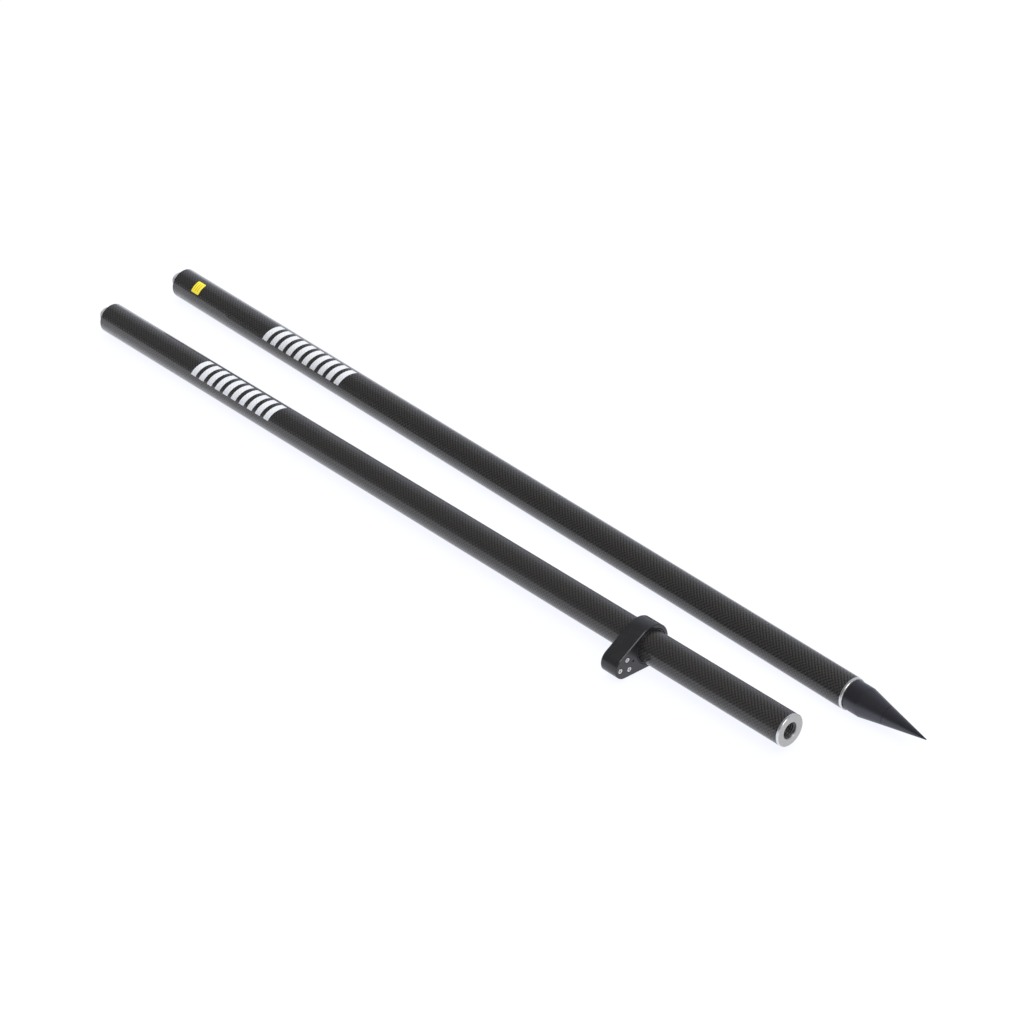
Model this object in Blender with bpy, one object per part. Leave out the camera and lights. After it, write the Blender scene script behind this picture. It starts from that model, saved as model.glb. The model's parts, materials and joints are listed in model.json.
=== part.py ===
"""Two-piece carbon-fibre survey pole, taken apart, both sections lying on the ground.

Frame: metres, +Z up, ground at Z = 0. Both sections lie along X with their foot ends at +X.
The lower section carries the steel point. The upper section lies beside it, towards -Y, carries
the level collar and rests on that collar, so it slopes up slightly towards its foot.
"""

import math

import bmesh
import bpy
from mathutils import Matrix, Vector

# ---- clearances ------------------------------------------------------------------------------
GAP = 0.0003                  # between pieces that touch
RUN_GAP = 0.0006              # between the level's housing and its pocket

# ---- the two tubes ---------------------------------------------------------------------------
TUBE_OD = 0.03175             # 1 1/4 inch
TUBE_WALL = 0.0020
LOWER_LENGTH = 1.043          # shoulder to tip of the point
UPPER_LENGTH = 0.957          # shoulder to foot face
AXIS_SPACING = 0.0968         # between the sections at their top ends
UPPER_STAGGER = 0.0036        # the upper section's shoulder lies this far towards the feet
UPPER_YAW = math.radians(0.82)

# ---- the 5/8-11 screw joint, threads drawn at their major diameter -----------------------------
STUD_DIAMETER = 0.015875
STUD_REACH = 0.0125           # how far a top stud stands out of the shoulder
STUD_SEAT = 0.016             # how deep a top stud sits in its plug
STUD_CHAMFER = 0.0015
SOCKET_DEPTH = 0.022          # threaded hole in a foot insert
SOCKET_FLARE = 0.0020         # countersink at the mouth, on the radius and in depth

# ---- inserts and plugs -------------------------------------------------------------------------
FOOT_FLANGE = 0.0025
FOOT_FLANGE_CHAMFER = 0.0006
FOOT_SPIGOT = 0.034
PLUG_DEPTH = 0.030

# ---- point ---------------------------------------------------------------------------------------
POINT_LENGTH = 0.0862         # foot face to tip
POINT_SHANK_DIAMETER = 0.0290
POINT_SHANK_LENGTH = 0.0157
POINT_TIP_LENGTH = 0.0450     # the replaceable front of the cone
POINT_END_RADIUS = 0.0004
POINT_STUD_LENGTH = 0.0170
TIP_SPIGOT_RADIUS = 0.0040
TIP_SPIGOT_LENGTH = 0.0120
SEAL_SECTION = 0.0005         # radius of the rubber ring's section

# ---- label ---------------------------------------------------------------------------------------
LABEL_START = 0.0290          # from the shoulder
LABEL_LENGTH = 0.0120
LABEL_FROM = math.radians(6.5)   # from the top of the tube, towards -Y
LABEL_TO = math.radians(57.0)
LABEL_THICKNESS = 0.0003

# ---- level collar ----------------------------------------------------------------------------------
COLLAR_FRONT = 0.7875         # foot-side face, from the upper section's shoulder
COLLAR_THICKNESS = 0.0200
COLLAR_WALL = 0.0039          # round the bush
COLLAR_CHAMFER = 0.0007
LOBE_WEB = 0.0046             # between the tube's bore and the level's pocket
LOBE_WALL = 0.0021            # round the pocket
LOBE_DROP = math.radians(11.6)   # the lobe points towards -Y and this far down
BUSH_WALL = 0.0012
BUSH_SLIT = 0.0016
LOCK_SCREW_RADIUS = 0.0020
PLAIN_HOLE_RADIUS = 0.0011    # small drilled hole in the foot-side face
PLAIN_HOLE_DEPTH = 0.0030
PLAIN_HOLE_WEB = 0.0054       # from the tube's bore to the hole's axis

# ---- bullseye level ----------------------------------------------------------------------------------
POCKET_DEPTH = 0.0130         # from the collar's top-side face
POCKET_RADIUS = 0.0102
SEAL_BED = 0.0016             # space under the housing, for the rubber ring
VIAL_SEAL_SECTION = 0.0005
HOUSING_SUNK = 0.0002         # below the collar's top-side face
HOUSING_SKIN = 0.0011         # metal between a tapped hole and the well
HOUSING_WALL = 0.0016
VIAL_DISC = 0.0008
VIAL_GLASS_WALL = 0.0011
RETAINER_SUNK = 0.0002        # below the housing's rim
RETAINER_HEIGHT = 0.0007
RETAINER_LIP = 0.0013

# ---- adjusting screws --------------------------------------------------------------------------------
SCREW_RADIUS = 0.0015
SCREW_HEAD_RADIUS = 0.0025
SCREW_HEAD_HEIGHT = 0.0016
SCREW_SEAT = 0.0020           # depth of the head's counterbore
SCREW_ENGAGEMENT = 0.0036     # how far the shank reaches into the housing
HEX_RADIUS = 0.0011
HEX_DEPTH = 0.0009

# ---- roundness of the turned pieces ------------------------------------------------------------------
FINE = 64
MEDIUM = 32
SMALL = 20

TUBE_R = TUBE_OD / 2
BORE_R = TUBE_R - TUBE_WALL
STUD_R = STUD_DIAMETER / 2
SOCKET_R = STUD_R + GAP
SEAL_SEAT = SOCKET_R + SOCKET_FLARE
BUSH_R = TUBE_R + GAP + BUSH_WALL
COLLAR_BORE_R = BUSH_R + GAP
COLLAR_RADIUS = COLLAR_BORE_R + COLLAR_WALL
LOBE_RADIUS = POCKET_RADIUS + LOBE_WALL
LOBE_DISTANCE = COLLAR_BORE_R + LOBE_WEB + POCKET_RADIUS
COLLAR_REST = COLLAR_FRONT - COLLAR_THICKNESS + COLLAR_CHAMFER   # edge that touches the ground
SLOPE = math.asin((COLLAR_RADIUS - TUBE_R) / COLLAR_REST)

# depths in the level, from the collar's foot-side face
POCKET_FLOOR = COLLAR_THICKNESS - POCKET_DEPTH
HOUSING_BASE = POCKET_FLOOR + SEAL_BED
HOUSING_FLOOR = HOUSING_BASE + SCREW_ENGAGEMENT + GAP + HOUSING_SKIN
HOUSING_TOP = COLLAR_THICKNESS - HOUSING_SUNK
RETAINER_TOP = HOUSING_TOP - RETAINER_SUNK
GLASS_TOP = RETAINER_TOP - RETAINER_HEIGHT - GAP
DISC_BASE = HOUSING_FLOOR + GAP
GLASS_BASE = DISC_BASE + VIAL_DISC + GAP

HOUSING_R = POCKET_RADIUS - RUN_GAP
WELL_R = HOUSING_R - HOUSING_WALL
VIAL_R = WELL_R - GAP
SCREW_CIRCLE = HOUSING_R - 2 * VIAL_SEAL_SECTION - GAP - SCREW_RADIUS


def finish(name, colour, roughness, metallic=0.0):
    """A plain Principled material."""
    material = bpy.data.materials.new(name)
    material.use_nodes = True
    shader = material.node_tree.nodes["Principled BSDF"]
    shader.inputs["Base Color"].default_value = (*colour, 1.0)
    shader.inputs["Roughness"].default_value = roughness
    shader.inputs["Metallic"].default_value = metallic
    return material


def place(name, mesh, parent, material, matrix=None):
    """Put a mesh into the scene as one named piece under its parent empty."""
    piece = bpy.data.objects.new(name, mesh)
    bpy.context.collection.objects.link(piece)
    piece.parent = parent
    if matrix is not None:
        piece.matrix_local = matrix
    mesh.materials.append(material)
    mesh.shade_smooth()
    mesh.set_sharp_from_angle(angle=math.radians(30))
    return piece


def joint_frame(name, parent, location, rotation=(0.0, 0.0, 0.0)):
    """An empty that stands on a joint's axis."""
    empty = bpy.data.objects.new(name, None)
    bpy.context.collection.objects.link(empty)
    empty.parent = parent
    empty.location = location
    empty.rotation_euler = rotation
    return empty


def turned(name, profile, segments):
    """Turn a closed profile of (x, radius) points about the X axis.

    The profile runs counter-clockwise in the (x, radius) plane. A point at radius 0 becomes a pole.
    """
    mesh = bpy.data.meshes.new(name)
    bm = bmesh.new()
    rings = []
    for x, radius in profile:
        if radius == 0.0:
            rings.append([bm.verts.new((x, 0.0, 0.0))])
            continue
        angles = [math.tau * i / segments for i in range(segments)]
        rings.append([bm.verts.new((x, radius * math.cos(a), radius * math.sin(a))) for a in angles])
    for first, second in zip(rings, rings[1:] + rings[:1]):
        if len(first) == 1 and len(second) == 1:
            continue
        for i in range(segments):
            j = (i + 1) % segments
            corners = [first[i % len(first)], first[j % len(first)],
                       second[j % len(second)], second[i % len(second)]]
            bm.faces.new(list(dict.fromkeys(corners)))
    bmesh.ops.recalc_face_normals(bm, faces=bm.faces)
    bm.to_mesh(mesh)
    bm.free()
    return mesh


def arc(centre_x, centre_r, radius, start, end, steps):
    """Points of an arc in the (x, radius) plane, angles in degrees."""
    angles = [math.radians(start + (end - start) * i / steps) for i in range(steps + 1)]
    return [(centre_x + radius * math.cos(a), centre_r + radius * math.sin(a)) for a in angles]


def cutter(name, mesh, parent, matrix):
    """A hidden tool that a Boolean modifier takes away from a piece."""
    tool = bpy.data.objects.new(name, mesh)
    bpy.context.collection.objects.link(tool)
    tool.parent = parent
    tool.matrix_local = matrix
    tool.hide_render = True
    tool.display_type = "WIRE"
    return tool


def cut(piece, *tools):
    """Cut each tool out of the piece with a Boolean modifier."""
    for tool in tools:
        modifier = piece.modifiers.new(tool.name, "BOOLEAN")
        modifier.operation = "DIFFERENCE"
        modifier.object = tool


def rod(name, start, end, radius, segments):
    """A solid cylinder along X."""
    return turned(name, [(start, 0.0), (end, 0.0), (end, radius), (start, radius)], segments)


# ---- pieces shared by both sections ------------------------------------------------------------------

def tube(name, end, parent, material):
    """A plain tube from the shoulder at X = 0 to the foot flange."""
    profile = [(0.0, BORE_R), (end, BORE_R), (end, TUBE_R), (0.0, TUBE_R)]
    return place(name, turned(name, profile, FINE), parent, material)


def foot_insert(name, face, parent, material):
    """Flanged insert whose threaded socket opens at the foot face."""
    back = face - FOOT_FLANGE - FOOT_SPIGOT
    collar = face - FOOT_FLANGE + GAP
    chamfer = FOOT_FLANGE_CHAMFER
    outer = BORE_R - GAP
    profile = [
        (back, 0.0),
        (face - SOCKET_DEPTH, 0.0),
        (face - SOCKET_DEPTH, SOCKET_R),
        (face - SOCKET_FLARE, SOCKET_R),
        (face, SEAL_SEAT),
        (face, TUBE_R - chamfer),
        (face - chamfer, TUBE_R),
        (collar, TUBE_R),
        (collar, outer),
        (back, outer),
    ]
    return place(name, turned(name, profile, FINE), parent, material)


def top_plug(name, parent, material):
    """Plug bonded flush in the top end, with a blind hole for the stud."""
    outer = BORE_R - GAP
    hole = STUD_R + GAP
    floor = STUD_SEAT + GAP
    profile = [(0.0, hole), (floor, hole), (floor, 0.0), (PLUG_DEPTH, 0.0), (PLUG_DEPTH, outer), (0.0, outer)]
    return place(name, turned(name, profile, FINE), parent, material)


def top_stud(name, parent, material):
    """Threaded stud that stands out of the shoulder towards -X."""
    tip = -STUD_REACH
    profile = [
        (tip, 0.0),
        (STUD_SEAT, 0.0),
        (STUD_SEAT, STUD_R),
        (tip + STUD_CHAMFER, STUD_R),
        (tip, STUD_R - STUD_CHAMFER),
    ]
    return place(name, turned(name, profile, MEDIUM), parent, material)


def seal_ring(name, centre_x, ring_radius, section, parent, material):
    """A rubber ring about the X axis."""
    profile = arc(centre_x, ring_radius, section, 0.0, 330.0, 11)
    return place(name, turned(name, profile, MEDIUM), parent, material)


# ---- lower section -----------------------------------------------------------------------------------

def curved_label(parent, material):
    """A thin rectangle bent round the tube."""
    steps = 10
    inner = TUBE_R + GAP
    mesh = bpy.data.meshes.new("serial_label")
    bm = bmesh.new()
    rows = []
    for i in range(steps + 1):
        angle = LABEL_FROM + (LABEL_TO - LABEL_FROM) * i / steps
        around = Vector((0.0, -math.sin(angle), math.cos(angle)))
        row = []
        for radius in (inner, inner + LABEL_THICKNESS):
            for x in (LABEL_START, LABEL_START + LABEL_LENGTH):
                row.append(bm.verts.new(around * radius + Vector((x, 0.0, 0.0))))
        rows.append(row)
    loop = (0, 1, 3, 2)
    for first, second in zip(rows, rows[1:]):
        for k, corner in enumerate(loop):
            following = loop[(k + 1) % 4]
            bm.faces.new((first[corner], first[following], second[following], second[corner]))
    bm.faces.new([rows[0][k] for k in loop])
    bm.faces.new([rows[-1][k] for k in loop])
    bmesh.ops.recalc_face_normals(bm, faces=bm.faces)
    bm.to_mesh(mesh)
    bm.free()
    return place("serial_label", mesh, parent, material)


def point(parent, metal, tip_metal):
    """The point: a body that screws into the foot insert, and a tip on the body's nose.

    Its frame stands on the tube's axis at the foot face.
    """
    seam = POINT_LENGTH - POINT_TIP_LENGTH
    shank_r = POINT_SHANK_DIAMETER / 2
    taper = shank_r / (POINT_LENGTH - POINT_SHANK_LENGTH)
    hole_end = seam - TIP_SPIGOT_LENGTH - GAP
    hole_r = TIP_SPIGOT_RADIUS + GAP
    stud_r = STUD_R - GAP
    chamfer = FOOT_FLANGE_CHAMFER
    body_profile = [
        (-POINT_STUD_LENGTH, 0.0),
        (hole_end, 0.0),
        (hole_end, hole_r),
        (seam, hole_r),
        (seam, POINT_TIP_LENGTH * taper),
        (POINT_SHANK_LENGTH, shank_r),
        (GAP + chamfer, shank_r),
        (GAP, shank_r - chamfer),
        (GAP, stud_r),
        (STUD_CHAMFER - POINT_STUD_LENGTH, stud_r),
        (-POINT_STUD_LENGTH, stud_r - STUD_CHAMFER),
    ]
    place("point_body", turned("point_body", body_profile, FINE), parent, metal)
    tip_profile = [
        (seam - TIP_SPIGOT_LENGTH, 0.0),
        (POINT_LENGTH, 0.0),
        (POINT_LENGTH, POINT_END_RADIUS),
        (seam + GAP, (POINT_TIP_LENGTH - GAP) * taper),
        (seam + GAP, TIP_SPIGOT_RADIUS),
        (seam - TIP_SPIGOT_LENGTH, TIP_SPIGOT_RADIUS),
    ]
    place("point_tip", turned("point_tip", tip_profile, FINE), parent, tip_metal)


# ---- level collar --------------------------------------------------------------------------------------

def teardrop(name, start, end):
    """The collar's outline, a big circle and a small one joined by their outer tangents.

    In the collar's own frame Z points along the lobe and X along the tube.
    """
    lean = math.acos((COLLAR_RADIUS - LOBE_RADIUS) / LOBE_DISTANCE)
    outline = []
    for i in range(FINE // 2 + 1):
        angle = lean + (math.tau - 2 * lean) * i / (FINE // 2)
        outline.append((COLLAR_RADIUS * math.sin(angle), COLLAR_RADIUS * math.cos(angle)))
    for i in range(SMALL + 1):
        angle = -lean + 2 * lean * i / SMALL
        outline.append((LOBE_RADIUS * math.sin(angle), LOBE_DISTANCE + LOBE_RADIUS * math.cos(angle)))
    mesh = bpy.data.meshes.new(name)
    bm = bmesh.new()
    base = bm.faces.new([bm.verts.new((start, y, z)) for y, z in outline])
    grown = bmesh.ops.extrude_face_region(bm, geom=[base])
    moved = [v for v in grown["geom"] if isinstance(v, bmesh.types.BMVert)]
    bmesh.ops.translate(bm, verts=moved, vec=(end - start, 0.0, 0.0))
    bmesh.ops.recalc_face_normals(bm, faces=bm.faces)
    bm.to_mesh(mesh)
    bm.free()
    return mesh


def screw_places():
    """The three adjusting screws round the level's axis, the first one outermost."""
    for i in range(3):
        angle = math.tau * i / 3
        yield i + 1, Vector((0.0, SCREW_CIRCLE * math.sin(angle), SCREW_CIRCLE * math.cos(angle)))


def collar_body(parent, level, material):
    """The collar with its tube bore, level pocket, screw holes and lock screw hole."""
    body = place("collar_body", teardrop("collar_body", -COLLAR_THICKNESS, 0.0), parent, material)
    bevel = body.modifiers.new("edge", "BEVEL")
    bevel.width = COLLAR_CHAMFER
    bevel.segments = 1
    bevel.limit_method = "ANGLE"
    bevel.angle_limit = math.radians(60)
    past = COLLAR_THICKNESS / 4
    tools = [
        cutter("bore_tool", rod("bore_tool", -COLLAR_THICKNESS - past, past, COLLAR_BORE_R, FINE),
               parent, Matrix.Identity(4)),
        cutter("pocket_tool", rod("pocket_tool", -COLLAR_THICKNESS - past, -POCKET_FLOOR,
                                  POCKET_RADIUS, FINE), level, Matrix.Identity(4)),
    ]
    for index, centre in screw_places():
        label = f"screw_tool_{index}"
        clear_r = SCREW_RADIUS + GAP
        seat_r = SCREW_HEAD_RADIUS + GAP
        profile = [
            (-POCKET_FLOOR - past, 0.0),
            (past, 0.0),
            (past, seat_r),
            (-SCREW_SEAT, seat_r),
            (-SCREW_SEAT, clear_r),
            (-POCKET_FLOOR - past, clear_r),
        ]
        tools.append(cutter(label, turned(label, profile, SMALL), level, Matrix.Translation(centre)))
    tools.append(cutter("hole_tool", rod("hole_tool", -PLAIN_HOLE_DEPTH, past, PLAIN_HOLE_RADIUS, SMALL),
                        parent, Matrix.Translation((0.0, 0.0, COLLAR_BORE_R + PLAIN_HOLE_WEB))))
    tools.append(cutter("lock_tool", rod("lock_tool", 0.0, 2 * COLLAR_RADIUS,
                                         LOCK_SCREW_RADIUS + GAP, SMALL), parent, lock_frame()))
    cut(body, *tools)
    return body


def lock_frame():
    """The lock screw's axis: outwards, opposite the lobe, half way through the collar."""
    return Matrix.Translation((-COLLAR_THICKNESS / 2, 0.0, 0.0)) @ Matrix.Rotation(math.pi / 2, 4, "Y")


def collar_bush(parent, material):
    """Split sleeve between the tube and the collar."""
    inner = TUBE_R + GAP
    profile = [(-COLLAR_THICKNESS, inner), (0.0, inner), (0.0, BUSH_R), (-COLLAR_THICKNESS, BUSH_R)]
    bush = place("collar_bush", turned("collar_bush", profile, FINE), parent, material)
    mesh = bpy.data.meshes.new("slit_tool")
    bm = bmesh.new()
    bmesh.ops.create_cube(bm, size=1.0)
    size = Matrix.Diagonal((2 * COLLAR_THICKNESS, BUSH_SLIT, 2 * TUBE_R, 1.0))
    bmesh.ops.transform(bm, matrix=Matrix.Translation((-COLLAR_THICKNESS / 2, 0.0, TUBE_R)) @ size,
                        verts=bm.verts)
    bm.to_mesh(mesh)
    bm.free()
    cut(bush, cutter("slit_tool", mesh, parent, Matrix.Rotation(math.radians(90), 4, "X")))
    return bush


def lock_screw(parent, material):
    """Headless screw whose inner end bears on the bush."""
    inner = COLLAR_BORE_R
    outer = COLLAR_RADIUS - GAP
    profile = [
        (inner, 0.0),
        (outer - HEX_DEPTH, 0.0),
        (outer - HEX_DEPTH, HEX_RADIUS),
        (outer, HEX_RADIUS),
        (outer, LOCK_SCREW_RADIUS),
        (inner, LOCK_SCREW_RADIUS),
    ]
    return place("collar_lock_screw", turned("collar_lock_screw", profile, SMALL), parent, material)


def adjusting_screw(index, parent, material):
    """Cap screw from the collar's foot-side face into the level's housing."""
    name = f"adjusting_screw_{index}"
    seat = -SCREW_SEAT + GAP
    top = seat + SCREW_HEAD_HEIGHT
    end = -HOUSING_BASE - SCREW_ENGAGEMENT
    profile = [
        (end, 0.0),
        (top - HEX_DEPTH, 0.0),
        (top - HEX_DEPTH, HEX_RADIUS),
        (top, HEX_RADIUS),
        (top, SCREW_HEAD_RADIUS),
        (seat, SCREW_HEAD_RADIUS),
        (seat, SCREW_RADIUS),
        (end, SCREW_RADIUS),
    ]
    return place(name, turned(name, profile, SMALL), parent, material)


def level_vial(parent, finishes):
    """The bullseye level: housing, disc, liquid, glass and retaining ring, stacked towards -X.

    Its frame stands on the line through screws 2 and 3, at the housing's base, which it tilts about.
    """
    centre = Matrix.Translation((HOUSING_BASE, 0.0, SCREW_CIRCLE / 2))
    housing_profile = [
        (-HOUSING_FLOOR, 0.0),
        (-HOUSING_BASE, 0.0),
        (-HOUSING_BASE, HOUSING_R),
        (-HOUSING_TOP, HOUSING_R),
        (-HOUSING_TOP, WELL_R),
        (-HOUSING_FLOOR, WELL_R),
    ]
    housing = place("vial_housing", turned("vial_housing", housing_profile, FINE), parent,
                    finishes["housing"], centre)
    for index, position in screw_places():
        label = f"tapping_tool_{index}"
        deep = -HOUSING_BASE - SCREW_ENGAGEMENT - GAP
        mesh = rod(label, deep, -POCKET_FLOOR, SCREW_RADIUS + GAP, SMALL)
        cut(housing, cutter(label, mesh, parent, centre @ Matrix.Translation(position)))
    disc = rod("vial_base_disc", -DISC_BASE - VIAL_DISC, -DISC_BASE, VIAL_R, MEDIUM)
    place("vial_base_disc", disc, parent, finishes["disc"], centre)
    inside_r = VIAL_R - VIAL_GLASS_WALL
    inside_top = -GLASS_TOP + VIAL_GLASS_WALL
    glass_profile = [
        (-GLASS_TOP, 0.0),
        (inside_top, 0.0),
        (inside_top, inside_r),
        (-GLASS_BASE, inside_r),
        (-GLASS_BASE, VIAL_R),
        (-GLASS_TOP, VIAL_R),
    ]
    place("vial_glass", turned("vial_glass", glass_profile, FINE), parent, finishes["glass"], centre)
    fluid = rod("vial_fluid", inside_top + GAP, -GLASS_BASE, inside_r - GAP, MEDIUM)
    place("vial_fluid", fluid, parent, finishes["fluid"], centre)
    lip_r = VIAL_R - RETAINER_LIP
    low = RETAINER_HEIGHT - RETAINER_TOP
    ring_profile = [(-RETAINER_TOP, lip_r), (low, lip_r), (low, VIAL_R), (-RETAINER_TOP, VIAL_R)]
    place("vial_retaining_ring", turned("vial_retaining_ring", ring_profile, FINE), parent,
          finishes["ring"], centre)


# ---- assembly ------------------------------------------------------------------------------------------

def build_lower_section(finishes):
    """The lower section, lying along X with its shoulder at X = 0."""
    section = joint_frame("lower_section", None, (0.0, 0.0, TUBE_R))
    face = LOWER_LENGTH - POINT_LENGTH
    tube("lower_tube", face - FOOT_FLANGE, section, finishes["carbon"])
    foot_insert("lower_foot_insert", face, section, finishes["aluminium"])
    top_plug("lower_top_plug", section, finishes["aluminium"])
    top_stud("lower_top_stud", section, finishes["stud"])
    curved_label(section, finishes["label"])
    point_axis = joint_frame("point_axis", section, (face, 0.0, 0.0))
    seal_ring("point_o_ring", -SEAL_SECTION, STUD_R + SEAL_SECTION, SEAL_SECTION, point_axis,
              finishes["rubber"])
    point(point_axis, finishes["point"], finishes["tip"])
    return section


def build_upper_section(finishes):
    """The upper section, beside the lower one, resting on its top end and on the level collar."""
    section = joint_frame("upper_section", None, (UPPER_STAGGER, -AXIS_SPACING, TUBE_R),
                          (0.0, -SLOPE, UPPER_YAW))
    tube("upper_tube", UPPER_LENGTH - FOOT_FLANGE, section, finishes["carbon"])
    foot_insert("upper_foot_insert", UPPER_LENGTH, section, finishes["aluminium"])
    top_plug("upper_top_plug", section, finishes["aluminium"])
    top_stud("upper_top_stud", section, finishes["stud"])
    lobe_turn = math.pi / 2 + LOBE_DROP
    collar = joint_frame("collar", section, (COLLAR_FRONT, 0.0, 0.0), (lobe_turn, 0.0, 0.0))
    level = joint_frame("level", collar, (0.0, 0.0, LOBE_DISTANCE))
    collar_body(collar, level, finishes["anodised"])
    collar_bush(collar, finishes["nylon"])
    lock = joint_frame("lock_axis", collar, lock_frame().to_translation(), lock_frame().to_euler())
    lock_screw(lock, finishes["screw"])
    seal_x = -(POCKET_FLOOR + HOUSING_BASE) / 2
    seal_ring("vial_o_ring", seal_x, HOUSING_R - VIAL_SEAL_SECTION, VIAL_SEAL_SECTION, level,
              finishes["rubber"])
    tilt = joint_frame("tilt_axis", level, (-HOUSING_BASE, 0.0, -SCREW_CIRCLE / 2))
    level_vial(tilt, finishes)
    for index, centre in screw_places():
        axis = joint_frame(f"screw_axis_{index}", level, centre)
        adjusting_screw(index, axis, finishes["screw"])
    return section


def centre_on_ground(sections):
    """Move both sections so that the origin is the middle of the whole object's base."""
    bpy.context.view_layer.update()
    depsgraph = bpy.context.evaluated_depsgraph_get()
    points = []
    for piece in bpy.data.objects:
        if piece.type == "MESH" and not piece.hide_render:
            evaluated = piece.evaluated_get(depsgraph)
            points += [piece.matrix_world @ vertex.co for vertex in evaluated.data.vertices]
    low = [min(p[axis] for p in points) for axis in range(3)]
    high = [max(p[axis] for p in points) for axis in range(3)]
    shift = Vector((-(low[0] + high[0]) / 2, -(low[1] + high[1]) / 2, -low[2]))
    for section in sections:
        section.location += shift


def main():
    """Clear the scene and build the pole."""
    for old in list(bpy.data.objects):
        bpy.data.objects.remove(old, do_unlink=True)
    finishes = {
        "carbon": finish("carbon_fibre", (0.030, 0.030, 0.033), 0.25),
        "aluminium": finish("turned_aluminium", (0.72, 0.73, 0.74), 0.35, 1.0),
        "stud": finish("stainless_stud", (0.66, 0.67, 0.68), 0.30, 1.0),
        "label": finish("label_film", (0.90, 0.72, 0.06), 0.45),
        "rubber": finish("seal_rubber", (0.02, 0.02, 0.02), 0.75),
        "point": finish("blackened_steel", (0.075, 0.076, 0.082), 0.45, 0.6),
        "tip": finish("hardened_steel", (0.080, 0.081, 0.087), 0.42, 0.6),
        "anodised": finish("black_anodised", (0.035, 0.036, 0.040), 0.42, 0.3),
        "nylon": finish("black_nylon", (0.02, 0.02, 0.022), 0.55),
        "screw": finish("bright_screw", (0.75, 0.75, 0.74), 0.30, 1.0),
        "housing": finish("vial_housing", (0.62, 0.63, 0.64), 0.35, 1.0),
        "disc": finish("vial_disc", (0.80, 0.82, 0.70), 0.50),
        "glass": finish("vial_glass", (0.90, 0.95, 0.92), 0.05),
        "fluid": finish("vial_fluid", (0.55, 0.80, 0.12), 0.10),
        "ring": finish("vial_ring", (0.04, 0.04, 0.04), 0.40),
    }
    sections = [build_lower_section(finishes), build_upper_section(finishes)]
    centre_on_ground(sections)


main()
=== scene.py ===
"""Looks of a sectional carbon-fibre survey pole that lies apart on a pale floor.

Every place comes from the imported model: the tube axes from its joints and mounts, the ends from its
nodes' boxes. Lengths are in metres. A section's own frame has X along the tube, from the shoulder to
the foot, and Z upwards; an angle round the tube starts at Z and grows towards -Y.
"""

import json
import logging
import math
from dataclasses import dataclass
from enum import Enum
from typing import Callable, Sequence, Union

import bmesh
import bpy
import numpy as np
from mathutils import Matrix, Vector


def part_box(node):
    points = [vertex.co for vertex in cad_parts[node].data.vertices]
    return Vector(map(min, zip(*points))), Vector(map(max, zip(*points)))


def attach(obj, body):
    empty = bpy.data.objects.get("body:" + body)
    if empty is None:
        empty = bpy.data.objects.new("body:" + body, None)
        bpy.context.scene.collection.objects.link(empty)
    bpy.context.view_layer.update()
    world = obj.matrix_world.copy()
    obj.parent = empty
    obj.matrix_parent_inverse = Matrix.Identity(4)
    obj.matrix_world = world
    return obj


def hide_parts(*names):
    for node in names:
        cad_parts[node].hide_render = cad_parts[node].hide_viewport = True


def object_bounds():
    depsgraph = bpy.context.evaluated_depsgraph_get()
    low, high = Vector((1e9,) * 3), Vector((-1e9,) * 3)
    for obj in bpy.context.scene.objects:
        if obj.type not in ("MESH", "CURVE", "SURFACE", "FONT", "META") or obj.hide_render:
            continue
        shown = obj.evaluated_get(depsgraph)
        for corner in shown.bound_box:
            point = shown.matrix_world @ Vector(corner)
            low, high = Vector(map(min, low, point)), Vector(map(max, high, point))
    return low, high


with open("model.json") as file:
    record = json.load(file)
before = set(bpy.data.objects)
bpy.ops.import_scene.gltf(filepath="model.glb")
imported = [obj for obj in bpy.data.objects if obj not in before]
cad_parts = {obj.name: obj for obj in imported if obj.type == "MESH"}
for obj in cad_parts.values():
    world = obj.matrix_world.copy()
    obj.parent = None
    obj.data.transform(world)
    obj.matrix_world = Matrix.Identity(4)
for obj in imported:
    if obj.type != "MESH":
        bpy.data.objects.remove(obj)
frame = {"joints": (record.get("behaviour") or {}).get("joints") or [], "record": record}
CAD_LOW, CAD_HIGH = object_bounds()

LOG = logging.getLogger("survey_pole")
TAU = math.tau
MM = 0.001

Term = Union[float, Sequence[float], bpy.types.NodeSocket]
Corner = tuple[float, float, float]


# ---- frames and surfaces -------------------------------------------------------------------------


def unit(vector: np.ndarray) -> np.ndarray:
    """The vector with a length of one."""
    return vector / np.linalg.norm(vector)


@dataclass(frozen=True)
class Axes:
    """A right-handed frame: an origin and three unit vectors."""

    origin: np.ndarray
    x: np.ndarray
    y: np.ndarray
    z: np.ndarray

    @classmethod
    def along(cls, origin: Sequence[float], axis: Sequence[float], up: Sequence[float]) -> "Axes":
        """Frame with X on an axis and Z as near to a wanted direction as it can be.

        Args:
            origin: The frame's origin.
            axis: Direction of X.
            up: Direction that Z leans towards.

        Returns:
            The frame. Y is the cross product of up and X, and Z is the cross product of X and Y.
        """
        x = unit(np.asarray(axis, float))
        y = unit(np.cross(up, x))
        return cls(np.asarray(origin, float), x, y, np.cross(x, y))

    def point(self, x: float = 0.0, y: float = 0.0, z: float = 0.0) -> np.ndarray:
        """Place of a point that is given in this frame."""
        return self.origin + x * self.x + y * self.y + z * self.z

    def moved(self, x: float = 0.0, y: float = 0.0, z: float = 0.0) -> "Axes":
        """The same frame with its origin moved along its own directions."""
        return Axes(self.point(x, y, z), self.x, self.y, self.z)

    def around(self, radius: float, angle: float) -> "Axes":
        """The same frame moved out from X by a radius, at an angle from Z towards Y."""
        return self.moved(y=radius * math.sin(angle), z=radius * math.cos(angle))

    def place(self, local: np.ndarray) -> np.ndarray:
        """Points of this frame in the row frame: origin plus each part times its unit vector."""
        return self.origin + local @ np.stack([self.x, self.y, self.z])


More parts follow.
